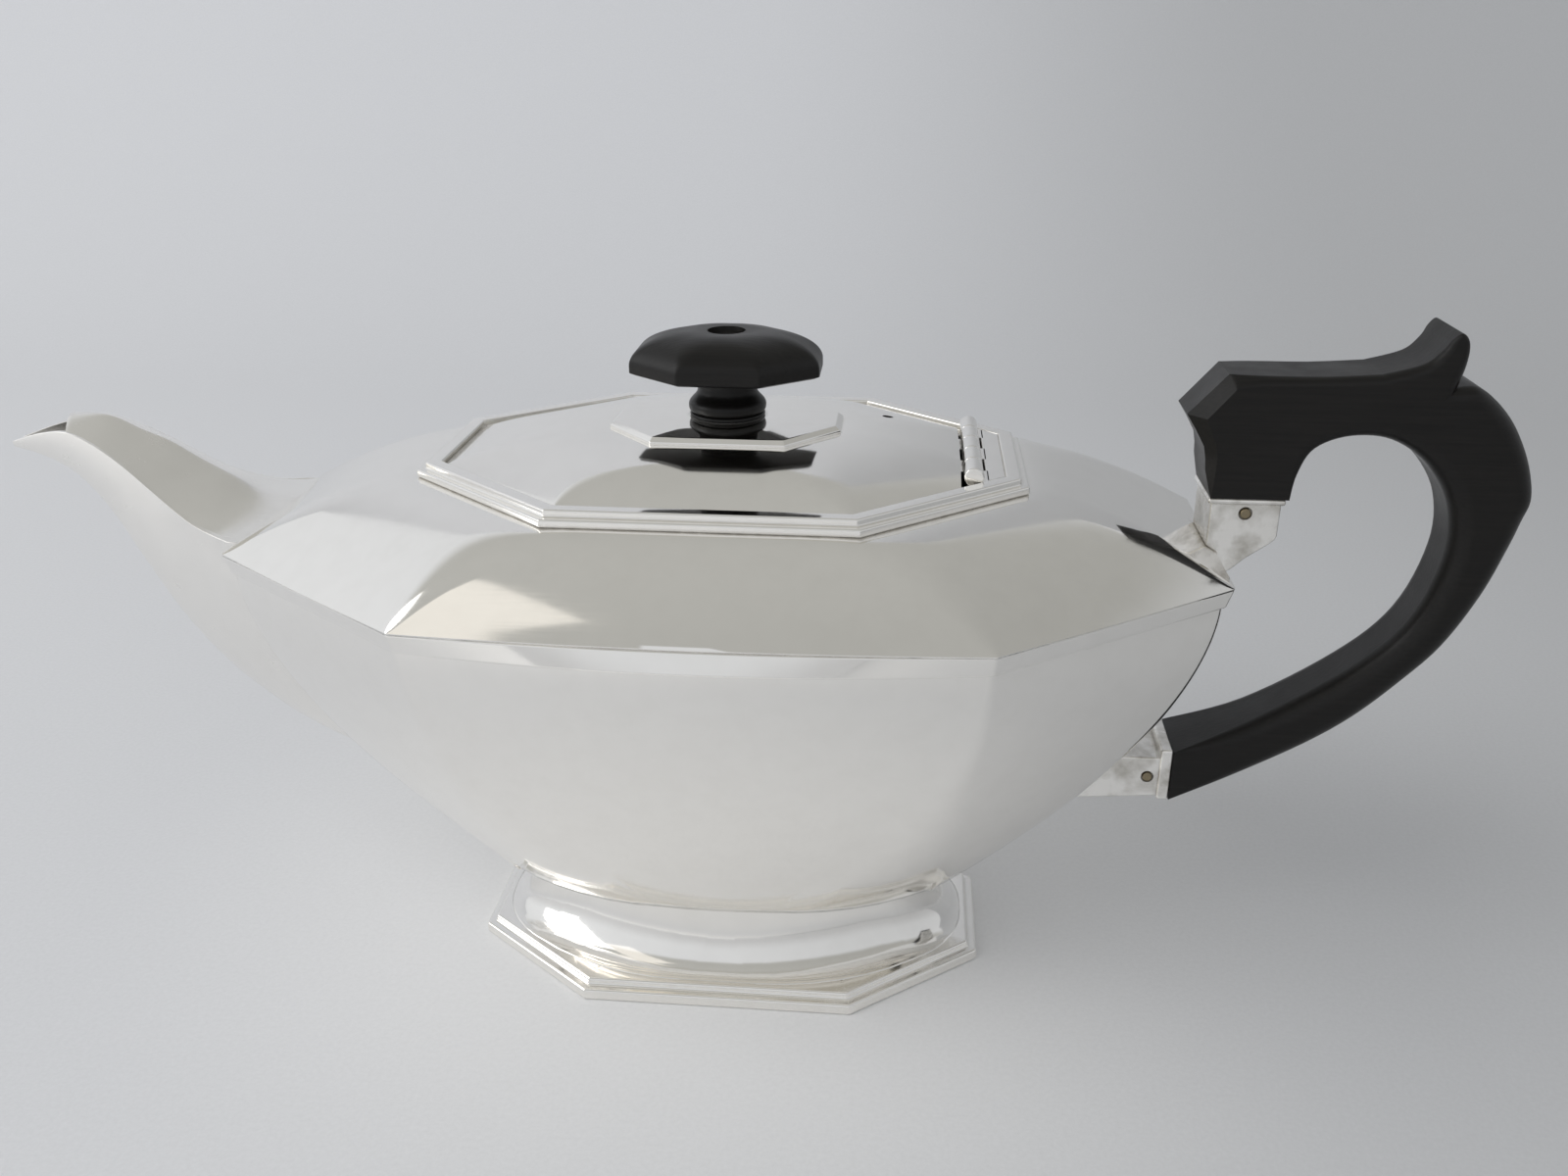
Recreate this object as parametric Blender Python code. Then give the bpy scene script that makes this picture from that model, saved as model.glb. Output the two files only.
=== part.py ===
"""Octagonal silver teapot with a hinged lid and a black handle and knob.

The pot is raised sheet: a bowed lower body, a rim band and a shoulder on a coved foot, with a
two-part spout. The lid swings on a five-knuckle hinge. The handle is tenoned into two pinned
sockets, and the knob is held by one bolt through the lid.

Sizes are in millimetres. X runs along the pot, with the spout at -X and the handle at +X, and
the foot stands on Z = 0.
"""

import math
from collections import namedtuple

import bmesh
import bpy
from mathutils import Vector

for old in list(bpy.data.objects):
    bpy.data.objects.remove(old, do_unlink=True)

# An octagon seen from above: end edges at +-half_length and front edges at +-half_width.
Octagon = namedtuple("Octagon", "half_length front_half half_width end_half")

MM = 0.001
GAP = 0.3
SHEET = 1.4

# Rim, the widest line of the pot.
RIM_HALF_LENGTH = 86.4
RIM_HALF_WIDTH = 52.2
RIM_FRONT_HALF = 46.1
RIM_END_HALF = 22.6
RIM_BOW = 1.7

# Rim band, the strip between the lower body and the shoulder.
BAND_HEIGHT = 3.3
BAND_WIDTH = 3.0
BAND_FACE = 1.9
BAND_UNDERCUT = 0.9

# Lower body, a bowl that draws in to a turned-under base.
BODY_HEIGHT = 64.4
BODY_STEP_IN = 1.3
BODY_BOW = 4.0
BODY_TURN = Octagon(48.2, 25.7, 29.1, 12.6)
BODY_TURN_RISE = 3.4
BODY_BASE_INSET = 6.5
BODY_POWER = 1.75
BODY_STEPS = 9
BASE_SHEET = 2.8
BOW_STEPS = 4

# Strainer holes through the wall behind the spout.
STRAINER_HOLE = 3.0
STRAINER_PITCH = 5.2
STRAINER_ROWS = (3, 4, 5, 4, 3)
STRAINER_BELOW_RIM = 18.1
STRAINER_REACH = 4.2

# Foot, a coved skirt on a stepped base moulding.
FOOT_HEIGHT = 17.3
FOOT_BASE = Octagon(49.1, 25.1, 31.0, 12.3)
FOOT_NECK = Octagon(38.5, 14.5, 21.5, 8.5)
FOOT_STEP_HEIGHT = 2.3
FOOT_STEP_INSET = 1.8
FOOT_RIM_HEIGHT = 3.6
FOOT_RIM_WIDTH = 5.4
FOOT_COVE_INSET = 3.0
FOOT_BEAD = 0.8
FOOT_BEAD_HEIGHT = 1.4
FOOT_STEPS = 6

# Lid frame on the shoulder, with the ledge that the lid rests on.
FRAME = Octagon(52.7, 25.3, 37.6, 14.5)
FRAME_HEIGHT = 2.3
FRAME_STEP_HEIGHT = 1.1
FRAME_STEP_INSET = 1.4
FRAME_WIDTH = 4.0
FRAME_LEDGE = 2.2
FRAME_LEDGE_HEIGHT = 0.9
SHOULDER_HEIGHT = 12.7
SHOULDER_POWER = 1.7
SHOULDER_STEPS = 6

# Lid and what is bolted through it.
LID_CLEARANCE = 0.4
LID_EDGE = 1.0
LID_RISE = 3.4
LID_POWER = 1.6
LID_STEPS = 4
VENT_HOLE = 2.0
VENT_X = 28.3
VENT_Y = 9.4
PLATE = Octagon(20.4, 11.5, 14.7, 4.7)
PLATE_HEIGHT = 1.2
PLATE_BEVEL = 0.9
BOLT_RADIUS = 2.0
BOLT_HEAD_RADIUS = 3.2
BOLT_HEAD_HEIGHT = 1.5
BOLT_TAIL = 1.2
NUT_RADIUS = 4.0
NUT_HEIGHT = 2.6
NUT_SIDES = 12

# Knob: a washer, a turned neck and an octagonal cap.
WASHER_RADIUS = 5.6
WASHER_HEIGHT = 1.7
NECK_RADIUS = 4.7
COLLAR_RADIUS = 6.2
COLLAR_HEIGHT = 2.2
NECK_HEIGHT = 7.0
CAP = Octagon(16.6, 7.1, 12.7, 4.85)
CAP_HEIGHT = 6.7
CAP_UNDER_INSET = 1.0
CAP_UNDER_RISE = 0.5
CAP_SIDE = 3.2
CAP_SHOULDER_INSET = 1.6
CAP_TOP_INSET = 7.0
CAP_STEPS = 4
CAP_RIDGE_ANGLE = 24
COUNTERBORE_RADIUS = 3.8
COUNTERBORE_DEPTH = 2.3

# Hinge across the handle end of the lid.
HINGE_FROM_FRAME_END = 9.4
HINGE_ABOVE_FRAME = 0.65
HINGE_RADIUS = 1.65
HINGE_HALF_LENGTH = 14.0
HINGE_KNUCKLES = 5
HINGE_PIN_RADIUS = 0.65
HINGE_LEAF = 1.0
HINGE_TAB = 0.7
HINGE_LID_LEAF_LENGTH = 4.0
HINGE_LID_LEAF_HALF = 9.0
LID_FROM_HINGE = 3.1
RUNNING_GAP = 0.3

# Spout rails from root to tip, as distances out from the rim's end and up from the rim.
SPOUT_SHEET = 1.0
TROUGH_FULLNESS = 2.3
HOOD_FULLNESS = 2.0
SPOUT_RIDGE_OUT = (0.6, 5.0, 8.6, 13.1, 18.0, 22.6, 28.3, 35.0, 42.0, 48.5)
SPOUT_RIDGE_UP = (0.5, 0.9, 1.5, 3.3, 6.4, 10.1, 13.2, 16.1, 14.9, 12.9)
SPOUT_HALF_WIDTH = (18.5, 16.2, 14.3, 12.2, 10.6, 9.2, 7.8, 6.3, 4.2, 2.0)
SPOUT_KEEL_OUT = (-26.4, -8.0, 4.5, 12.5, 19.0, 24.5, 30.2, 36.0, 42.3, 48.5)
SPOUT_KEEL_UP = (-52.5, -45.2, -37.5, -30.5, -22.3, -12.5, -1.3, 6.0, 9.6, 11.3)
SPOUT_CROWN_OUT = (-4.4, 2.0, 7.2, 13.0, 18.5, 23.5, 29.8, 37.0)
SPOUT_CROWN_UP = (2.6, 3.9, 6.8, 9.9, 13.2, 15.3, 18.0, 18.2)
SPOUT_SPAN_STEPS = 2
SPOUT_ARC_STEPS = 7
SPOUT_ARC_EASE = 1.5
SPOUT_ROOT_STATIONS = 4

# Handle outline, as distances out from the rim's end and up from the rim.
HANDLE_HALF_THICKNESS = 6.75
HANDLE_ROUND = 1.8
HANDLE_ROUND_STEPS = 3
HANDLE_FRONT = ((-2.2, 10.3), (-3.4, 14.8), (-4.0, 18.8), (-7.3, 24.2), (-1.2, 31.3))
HANDLE_TOP = ((14.1, 31.4), (23.3, 32.4), (30.6, 35.6), (33.2, 38.4))
HANDLE_TIP = ((34.4, 39.2), (35.6, 38.4), (36.1, 36.6))
HANDLE_THUMB = ((36.2, 33.2), (35.6, 30.0))
HANDLE_BACK = ((38.6, 30.1), (43.4, 26.8), (48.5, 20.1), (51.7, 13.0))
HANDLE_SWEEP = ((45.5, -7.2), (35.9, -23.5), (20.6, -37.9), (-2.7, -50.5))
HANDLE_INNER = (
    (-2.7, -39.4), (8.0, -35.0), (17.5, -29.4), (29.9, -17.9), (38.9, 5.4), (33.9, 19.2),
    (23.7, 21.9), (14.3, 18.6), (10.8, 10.3),
)
HANDLE_SPAN_STEPS = 4

# Sockets that carry the handle, each with a bead round its mouth, and the pins through them.
SOCKET_WALL = 2.0
SOCKET_STEP_IN = 0.6
SOCKET_BEAD = 1.1
TENON_ROOT = 1.0
UPPER_SOCKET_BACK = -2.5
UPPER_SOCKET_UP = 10.0
UPPER_SOCKET_UNDERSIDE = ((10.0, 3.2), (5.2, -1.0), (2.6, -3.4), (GAP, -4.8))
UNDERSIDE_STEPS = 3
LOWER_SOCKET_BEAD = 2.2
LOWER_BEAD_UP = -39.6
LOWER_BEAD_DOWN = -50.2
LOWER_SOCKET_UP = -41.6
LOWER_SOCKET_DOWN = -49.6
LOWER_SOCKET_TOE = -51.4
LOWER_SEAT_STEPS = 4
LOWER_TENON_LENGTH = 7.0
PIN_RADIUS = 1.2
PIN_PROUD = 0.25
UPPER_PIN_OUT = 4.1
UPPER_PIN_UP = 7.3
LOWER_PIN_FROM_END = 3.9

# Heights above the table, from the foot up, and the reach of the spout and the handle.
BODY_BASE_Z = FOOT_HEIGHT
BODY_TURN_Z = BODY_BASE_Z + BODY_TURN_RISE
RIM_Z = BODY_TURN_Z + BODY_HEIGHT
BODY_TOP_Z = RIM_Z - GAP - BAND_HEIGHT - GAP
STRAINER_Z = RIM_Z - STRAINER_BELOW_RIM
FRAME_Z = RIM_Z + SHOULDER_HEIGHT
FRAME_STEP_Z = FRAME_Z + FRAME_STEP_HEIGHT
FRAME_LEDGE_Z = FRAME_Z + FRAME_LEDGE_HEIGHT
FRAME_TOP_Z = FRAME_Z + FRAME_HEIGHT
LID_Z = FRAME_TOP_Z - GAP / 2
LID_TOP_Z = LID_Z + LID_RISE
HINGE_Z = FRAME_TOP_Z + HINGE_ABOVE_FRAME
HINGE_X = FRAME.half_length - HINGE_FROM_FRAME_END
RIM = Octagon(RIM_HALF_LENGTH, RIM_FRONT_HALF, RIM_HALF_WIDTH, RIM_END_HALF)
RIM_END = RIM.half_length
SPOUT_REACH = RIM_END + SPOUT_RIDGE_OUT[-1]
HANDLE_REACH = RIM_END + HANDLE_BACK[-1][0]
CENTRE_SHIFT = (SPOUT_REACH - HANDLE_REACH) / 2
ROUND_STEPS = 24
SMALL_ROUND_STEPS = 16
SHARP_ANGLE = 32


# Octagons and rings

def inset(shape, distance):
    """The octagon drawn in by the same distance on every side."""
    turn = math.atan2(shape.half_width - shape.end_half, shape.half_length - shape.front_half)
    return Octagon(
        shape.half_length - distance,
        shape.front_half - distance * math.tan(turn / 2),
        shape.half_width - distance,
        shape.end_half - distance * math.tan(math.pi / 4 - turn / 2),
    )


def mix(first, second, share):
    return Octagon(*(p + (q - p) * share for p, q in zip(first, second)))


def ring(shape, z, bow=0.0):
    """Points round an octagon at height z, with its two front edges bowed outwards."""
    long, front, wide, end = shape
    points = [(long, -end, z), (long, end, z)]
    for side in (1, -1):
        for step in range(BOW_STEPS + 1):
            across = 1 - 2 * step / BOW_STEPS
            points.append((side * across * front, side * (wide + bow * (1 - across ** 2)), z))
        if side == 1:
            points += [(-long, end, z), (-long, -end, z)]
    return points


def circle(radius, z, steps=ROUND_STEPS):
    turns = [2 * math.pi * step / steps for step in range(steps)]
    return [(radius * math.cos(turn), radius * math.sin(turn), z) for turn in turns]


def smooth_run(points, steps):
    """Points along a smooth curve that passes through each of the given points."""
    padded = [points[0], *points, points[-1]]
    run = []
    for before, start, end, after in zip(padded, padded[1:], padded[2:], padded[3:]):
        for step in range(steps):
            t = step / steps
            run.append(tuple(
                0.5 * (2 * q + (r - p) * t + (2 * p - 5 * q + 4 * r - s) * t * t
                       + (3 * q - p - 3 * r + s) * t ** 3)
                for p, q, r, s in zip(before, start, end, after)))
    return run + [tuple(points[-1])]


# Objects, materials and cuts

def principled(name, colour, roughness, metallic):
    material = bpy.data.materials.new(name)
    material.use_nodes = True
    shader = material.node_tree.nodes["Principled BSDF"]
    shader.inputs["Base Color"].default_value = (*colour, 1.0)
    shader.inputs["Roughness"].default_value = roughness
    shader.inputs["Metallic"].default_value = metallic
    return material


def silver(name):
    return principled(name, (0.86, 0.85, 0.83), 0.08, 1.0)


def blackwood(name):
    return principled(name, (0.012, 0.012, 0.012), 0.38, 0.0)


pot = bpy.data.objects.new("pot_frame", None)
pot.location = (CENTRE_SHIFT * MM, 0, 0)
lid_axis = bpy.data.objects.new("lid_axis", None)
lid_axis.location = (HINGE_X * MM, 0, HINGE_Z * MM)
for empty in (pot, lid_axis):
    bpy.context.scene.collection.objects.link(empty)
lid_axis.parent = pot


def add_object(name, shape, finish, on_lid=False):
    """An object of a finished bmesh in pot millimetres, carried by the pot or by the lid's axis."""
    bmesh.ops.recalc_face_normals(shape, faces=shape.faces)
    if on_lid:
        bmesh.ops.translate(shape, verts=shape.verts, vec=(-HINGE_X, 0, -HINGE_Z))
    bmesh.ops.scale(shape, verts=shape.verts, vec=(MM, MM, MM))
    mesh = bpy.data.meshes.new(name)
    shape.to_mesh(mesh)
    shape.free()
    if finish:
        mesh.materials.append(finish(name + "_finish"))
    made = bpy.data.objects.new(name, mesh)
    made.parent = lid_axis if on_lid else pot
    bpy.context.scene.collection.objects.link(made)
    return made


def shade_round(made, angle=SHARP_ANGLE):
    made.data.shade_smooth()
    made.data.set_sharp_from_angle(angle=math.radians(angle))


def skin(loops, around=False, folded=False):
    """A bmesh of quads through a run of loops, capped at both ends or closed on itself.

    A folded loop runs out along one arc and back along another, and its cap is the strip between.
    """
    shape = bmesh.new()
    rows = [[shape.verts.new(point) for point in loop] for loop in loops]
    pairs = list(zip(rows, rows[1:]))
    if around:
        pairs.append((rows[-1], rows[0]))
    for lower, upper in pairs:
        for i in range(len(lower)):
            j = (i + 1) % len(lower)
            shape.faces.new((lower[i], lower[j], upper[j], upper[i]))
    if folded:
        for row in (rows[0], rows[-1]):
            last = len(row) - 1
            for i in range(len(row) // 2 - 1):
                shape.faces.new((row[i], row[i + 1], row[last - i - 1], row[last - i]))
    elif not around:
        shape.faces.new(reversed(rows[0]))
        shape.faces.new(rows[-1])
    return shape


def slab(outline, half_thickness):
    """An outline of (x, z) points drawn out along Y to both sides."""
    return skin([[(x, side * half_thickness, z) for x, z in outline] for side in (-1, 1)])


def block(x_range, y_range, z_range):
    (x0, x1), (y0, y1), (z0, z1) = x_range, y_range, z_range
    base = [(x0, y0), (x1, y0), (x1, y1), (x0, y1)]
    return skin([[(x, y, z) for x, y in base] for z in (z0, z1)])


def rod(axis, centre, radius, span, steps=ROUND_STEPS):
    """A round bar along X, Y or Z, with its centre line through the two given coordinates."""
    loops = []
    for end in span:
        loop = []
        for u, v, _ in circle(radius, 0, steps):
            pair = (centre[0] + u, centre[1] + v)
            places = {"x": (end, *pair), "y": (pair[0], end, pair[1]), "z": (*pair, end)}
            loop.append(places[axis])
        loops.append(loop)
    return skin(loops)


def joined(*shapes):
    """Several separate solids in one bmesh."""
    whole = bmesh.new()
    for shape in shapes:
        part = bpy.data.meshes.new("part")
        shape.to_mesh(part)
        shape.free()
        whole.from_mesh(part)
        bpy.data.meshes.remove(part)
    return whole


def combine(made, operation, shape, on_lid=False):
    """Cut a hidden solid out of an object, or join it on."""
    tool = add_object(f"{made.name}_{operation.lower()}_{len(made.modifiers)}", shape, None, on_lid)
    tool.hide_render = True
    tool.display_type = "WIRE"
    modifier = made.modifiers.new(operation.title(), "BOOLEAN")
    modifier.operation = operation
    modifier.object = tool
    modifier.solver = "EXACT"


# Shape of the pot's wall, used by each piece that meets it

BODY_TOP = inset(RIM, BODY_STEP_IN)


def body_share(z):
    return ((BODY_TOP_Z - z) / (BODY_TOP_Z - BODY_TURN_Z)) ** BODY_POWER


def body_end(z):
    """Where the lower body's end wall lies at height z."""
    return mix(BODY_TOP, BODY_TURN, body_share(z)).half_length


SHOULDER_TOP_Z = FRAME_Z - GAP


def shoulder_height(share):
    return RIM_Z + (SHOULDER_TOP_Z - RIM_Z) * (1 - (1 - share) ** SHOULDER_POWER)


def shoulder_end(z):
    """Where the shoulder's end slope lies at height z."""
    rise = (z - RIM_Z) / (SHOULDER_TOP_Z - RIM_Z)
    share = 1 - (1 - rise) ** (1 / SHOULDER_POWER)
    return mix(RIM, FRAME, share).half_length


def pot_end(z):
    """The outermost end of the pot at height z, with the seat clearance added."""
    if z < BODY_TOP_Z:
        return body_end(z) + GAP
    if z < RIM_Z:
        return RIM_END + GAP
    return shoulder_end(z) + GAP


# Lower body: a raised bowl with a flat base and strainer holes behind the spout

body_rise = BODY_TOP_Z - BODY_TURN_Z
body_base = inset(BODY_TURN, BODY_BASE_INSET)
outer_wall = [ring(body_base, BODY_BASE_Z)]
inner_wall = [ring(inset(body_base, SHEET), BODY_BASE_Z + SHEET)]
for step in range(BODY_STEPS + 1):
    z = BODY_TURN_Z + body_rise * step / BODY_STEPS
    share = body_share(z)
    section = mix(BODY_TOP, BODY_TURN, share)
    bow = BODY_BOW * (1 - share)
    outer_wall.append(ring(section, z, bow))
    inner_wall.append(ring(inset(section, SHEET), max(z, BODY_BASE_Z + BASE_SHEET), bow))
lower_body = add_object("lower_body", skin(outer_wall + inner_wall[::-1]), silver)

holes = []
for row, count in enumerate(STRAINER_ROWS):
    z = STRAINER_Z + (row - (len(STRAINER_ROWS) - 1) / 2) * STRAINER_PITCH
    for column in range(count):
        y = (column - (count - 1) / 2) * STRAINER_PITCH
        span = (-body_end(z) - SHEET, -body_end(z) + STRAINER_REACH)
        holes.append(rod("x", (y, z), STRAINER_HOLE / 2, span, SMALL_ROUND_STEPS // 2))
combine(lower_body, "DIFFERENCE", joined(*holes))

# Rim band: a drawn strip that covers the seam, with a rounded face over an undercut

band_top = RIM_Z - GAP
band_bottom = band_top - BAND_HEIGHT
band_inner = inset(RIM, BAND_WIDTH)
add_object("rim_band", skin([
    ring(RIM, band_top, RIM_BOW),
    ring(RIM, band_top - BAND_FACE, RIM_BOW),
    ring(inset(RIM, BAND_UNDERCUT), band_bottom, BODY_BOW),
    ring(band_inner, band_bottom, RIM_BOW),
    ring(band_inner, band_top, RIM_BOW),
], around=True), silver)

# Shoulder: a raised top that curves in from the rim to the lid frame

shoulder_out = []
shoulder_in = []
for step in range(SHOULDER_STEPS + 1):
    share = step / SHOULDER_STEPS
    section = mix(RIM, FRAME, share)
    z = shoulder_height(share)
    bow = RIM_BOW * (1 - share)
    shoulder_out.append(ring(section, z, bow))
    shoulder_in.append(ring(inset(section, SHEET), z if step == 0 else z - SHEET, bow))
add_object("shoulder", skin(shoulder_out + shoulder_in[::-1], around=True), silver)

# Foot: a coved skirt under the body, on a stepped base moulding

foot_rim_inner = inset(FOOT_BASE, FOOT_RIM_WIDTH)
foot_step = inset(FOOT_BASE, FOOT_STEP_INSET)
add_object("foot_rim", skin([
    ring(FOOT_BASE, 0.0),
    ring(FOOT_BASE, FOOT_STEP_HEIGHT),
    ring(foot_step, FOOT_STEP_HEIGHT),
    ring(foot_step, FOOT_RIM_HEIGHT),
    ring(foot_rim_inner, FOOT_RIM_HEIGHT),
    ring(foot_rim_inner, 0.0),
], around=True), silver)

foot_bottom = FOOT_RIM_HEIGHT + GAP
foot_top = BODY_BASE_Z - GAP
cove_top = foot_top - FOOT_BEAD_HEIGHT
foot_skirt = inset(FOOT_BASE, FOOT_COVE_INSET)
foot_bead = inset(FOOT_NECK, -FOOT_BEAD)
foot_out = []
foot_in = []
for step in range(FOOT_STEPS + 1):
    turn = math.pi / 2 * step / FOOT_STEPS
    section = mix(foot_skirt, FOOT_NECK, math.sin(turn))
    z = foot_bottom + (cove_top - foot_bottom) * (1 - math.cos(turn))
    foot_out.append(ring(section, z + (SHEET if step else 0)))
    foot_in.append(ring(inset(section, SHEET), z))
foot_out[-1] = ring(FOOT_NECK, cove_top)
foot_out += [ring(foot_bead, cove_top), ring(foot_bead, foot_top)]
foot_in.append(ring(inset(FOOT_NECK, SHEET), foot_top))
add_object("foot", skin(foot_out + foot_in[::-1], around=True), silver)

# Lid frame: a two-step moulding round the mouth, with an inner ledge for the lid

frame_step = inset(FRAME, FRAME_STEP_INSET)
frame_mouth = inset(FRAME, FRAME_WIDTH)
frame_ledge = inset(frame_mouth, FRAME_LEDGE)
add_object("lid_frame", skin([
    ring(FRAME, FRAME_Z),
    ring(FRAME, FRAME_STEP_Z),
    ring(frame_step, FRAME_STEP_Z),
    ring(frame_step, FRAME_TOP_Z),
    ring(frame_mouth, FRAME_TOP_Z),
    ring(frame_mouth, FRAME_LEDGE_Z),
    ring(frame_ledge, FRAME_LEDGE_Z),
    ring(frame_ledge, FRAME_Z),
], around=True), silver)

# Lid: a low faceted dome, cut straight across beside the hinge and pierced by a steam vent

lid_edge = inset(frame_mouth, LID_CLEARANCE)
lid_floor_z = LID_Z - LID_EDGE
lid_out = [ring(lid_edge, lid_floor_z)]
lid_in = [ring(inset(lid_edge, SHEET), lid_floor_z)]
for step in range(LID_STEPS + 1):
    share = step / LID_STEPS
    section = mix(lid_edge, PLATE, share)
    z = LID_Z + LID_RISE * (1 - (1 - share) ** LID_POWER)
    lid_out.append(ring(section, z))
    if step:
        lid_in.append(ring(inset(section, SHEET / 2), z - LID_EDGE))
lid = add_object("lid", skin(lid_in[::-1] + lid_out), silver, on_lid=True)
cut_x = HINGE_X - LID_FROM_HINGE
through_lid = (lid_floor_z - SHEET, LID_TOP_Z + SHEET)
beside_hinge = block((cut_x, FRAME.half_length), (-FRAME.half_width, FRAME.half_width), through_lid)
combine(lid, "DIFFERENCE", beside_hinge, on_lid=True)
combine(lid, "DIFFERENCE", joined(
    rod("z", (0, 0), BOLT_RADIUS + GAP, through_lid),
    rod("z", (VENT_X, VENT_Y), VENT_HOLE / 2, through_lid, SMALL_ROUND_STEPS)), on_lid=True)

# Finial plate, washer, neck and cap, stacked on the lid and held by one bolt

bolt_hole = BOLT_RADIUS + GAP
plate_z = LID_TOP_Z + GAP
plate_top = plate_z + PLATE_HEIGHT
finial_plate = add_object("finial_plate", skin([
    ring(PLATE, plate_z),
    ring(PLATE, plate_top - PLATE_BEVEL / 2),
    ring(inset(PLATE, PLATE_BEVEL), plate_top),
]), silver, on_lid=True)
combine(finial_plate, "DIFFERENCE",
        rod("z", (0, 0), bolt_hole, (plate_z - SHEET, plate_top + SHEET)), on_lid=True)


def turned(name, profile, finish):
    """A turned ring with the bolt's hole through it, from (radius, height) pairs going up."""
    loops = [circle(bolt_hole, profile[0][1])]
    loops += [circle(radius, z) for radius, z in profile]
    loops.append(circle(bolt_hole, profile[-1][1]))
    shade_round(add_object(name, skin(loops, around=True), finish, on_lid=True))


washer_z = plate_top + GAP
washer_top = washer_z + WASHER_HEIGHT
turned("knob_washer", [(WASHER_RADIUS, washer_z), (WASHER_RADIUS, washer_top)], blackwood)

neck_z = washer_top + GAP
neck_top = neck_z + NECK_HEIGHT
collar_top = neck_z + COLLAR_HEIGHT
collar_round = (COLLAR_RADIUS - NECK_RADIUS) / 2
turned("knob_neck", [
    (COLLAR_RADIUS - collar_round, neck_z),
    (COLLAR_RADIUS, neck_z + collar_round),
    (COLLAR_RADIUS, collar_top - collar_round),
    (COLLAR_RADIUS - collar_round, collar_top),
    (NECK_RADIUS, collar_top + collar_round),
    (NECK_RADIUS, neck_top),
], blackwood)

cap_z = neck_top + GAP
cap_top = cap_z + CAP_HEIGHT
cap_shoulder = inset(CAP, CAP_SHOULDER_INSET)
cap_loops = [ring(inset(CAP, CAP_UNDER_INSET), cap_z), ring(CAP, cap_z + CAP_UNDER_RISE)]
cap_loops.append(ring(CAP, cap_z + CAP_SIDE / 2))
for step in range(CAP_STEPS + 1):
    turn = math.pi / 2 * step / CAP_STEPS
    section = mix(cap_shoulder, inset(CAP, CAP_TOP_INSET), 1 - math.cos(turn))
    cap_loops.append(ring(section, cap_z + CAP_SIDE + (CAP_HEIGHT - CAP_SIDE) * math.sin(turn)))
knob_cap = add_object("knob_cap", skin(cap_loops), blackwood, on_lid=True)
shade_round(knob_cap, CAP_RIDGE_ANGLE)
counterbore_z = cap_top - COUNTERBORE_DEPTH
combine(knob_cap, "DIFFERENCE",
        rod("z", (0, 0), COUNTERBORE_RADIUS, (counterbore_z, cap_top + SHEET)), on_lid=True)
combine(knob_cap, "DIFFERENCE",
        rod("z", (0, 0), bolt_hole, (cap_z - SHEET, cap_top)), on_lid=True)

nut_top = LID_TOP_Z - LID_EDGE - GAP
nut_z = nut_top - NUT_HEIGHT
add_object("knob_nut", skin([
    circle(bolt_hole, nut_z, NUT_SIDES),
    circle(bolt_hole, nut_top, NUT_SIDES),
    circle(NUT_RADIUS, nut_top, NUT_SIDES),
    circle(NUT_RADIUS, nut_z, NUT_SIDES),
], around=True), silver, on_lid=True)

head_z = counterbore_z + GAP
knob_bolt = add_object("knob_bolt", skin([
    circle(BOLT_RADIUS, nut_z - BOLT_TAIL),
    circle(BOLT_RADIUS, head_z),
    circle(BOLT_HEAD_RADIUS, head_z),
    circle(BOLT_HEAD_RADIUS, head_z + BOLT_HEAD_HEIGHT),
]), silver, on_lid=True)
shade_round(knob_bolt)

# Hinge: three knuckles on the frame's leaf, two on the lid's leaf, and the pin through them

knuckle_length = 2 * HINGE_HALF_LENGTH / HINGE_KNUCKLES
leaf_z = (FRAME_LEDGE_Z + GAP, FRAME_LEDGE_Z + GAP + HINGE_LEAF)
tab_inset = (HINGE_LEAF - HINGE_TAB) / 2
tab_z = (leaf_z[0] + tab_inset, leaf_z[1] - tab_inset)
hinge_line = (HINGE_X, HINGE_Z)


def hinge_leaf(name, first, leaf_x, tab_x, half_length, on_lid):
    """A leaf with every second knuckle, each joined to the leaf by a tab."""
    leaf = block(leaf_x, (-half_length, half_length), leaf_z)
    made = add_object(name, leaf, silver, on_lid)
    for index in range(first, HINGE_KNUCKLES, 2):
        start = -HINGE_HALF_LENGTH + index * knuckle_length + RUNNING_GAP / 2
        span = (start, start + knuckle_length - RUNNING_GAP)
        knuckle = rod("y", hinge_line, HINGE_RADIUS, span, SMALL_ROUND_STEPS)
        combine(made, "UNION", knuckle, on_lid)
        tab_span = (span[0] + RUNNING_GAP, span[1] - RUNNING_GAP)
        combine(made, "UNION", block(tab_x, tab_span, tab_z), on_lid)
    bore_span = (-HINGE_HALF_LENGTH - SHEET, HINGE_HALF_LENGTH + SHEET)
    bore = rod("y", hinge_line, HINGE_PIN_RADIUS + RUNNING_GAP, bore_span, SMALL_ROUND_STEPS)
    combine(made, "DIFFERENCE", bore, on_lid)


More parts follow.
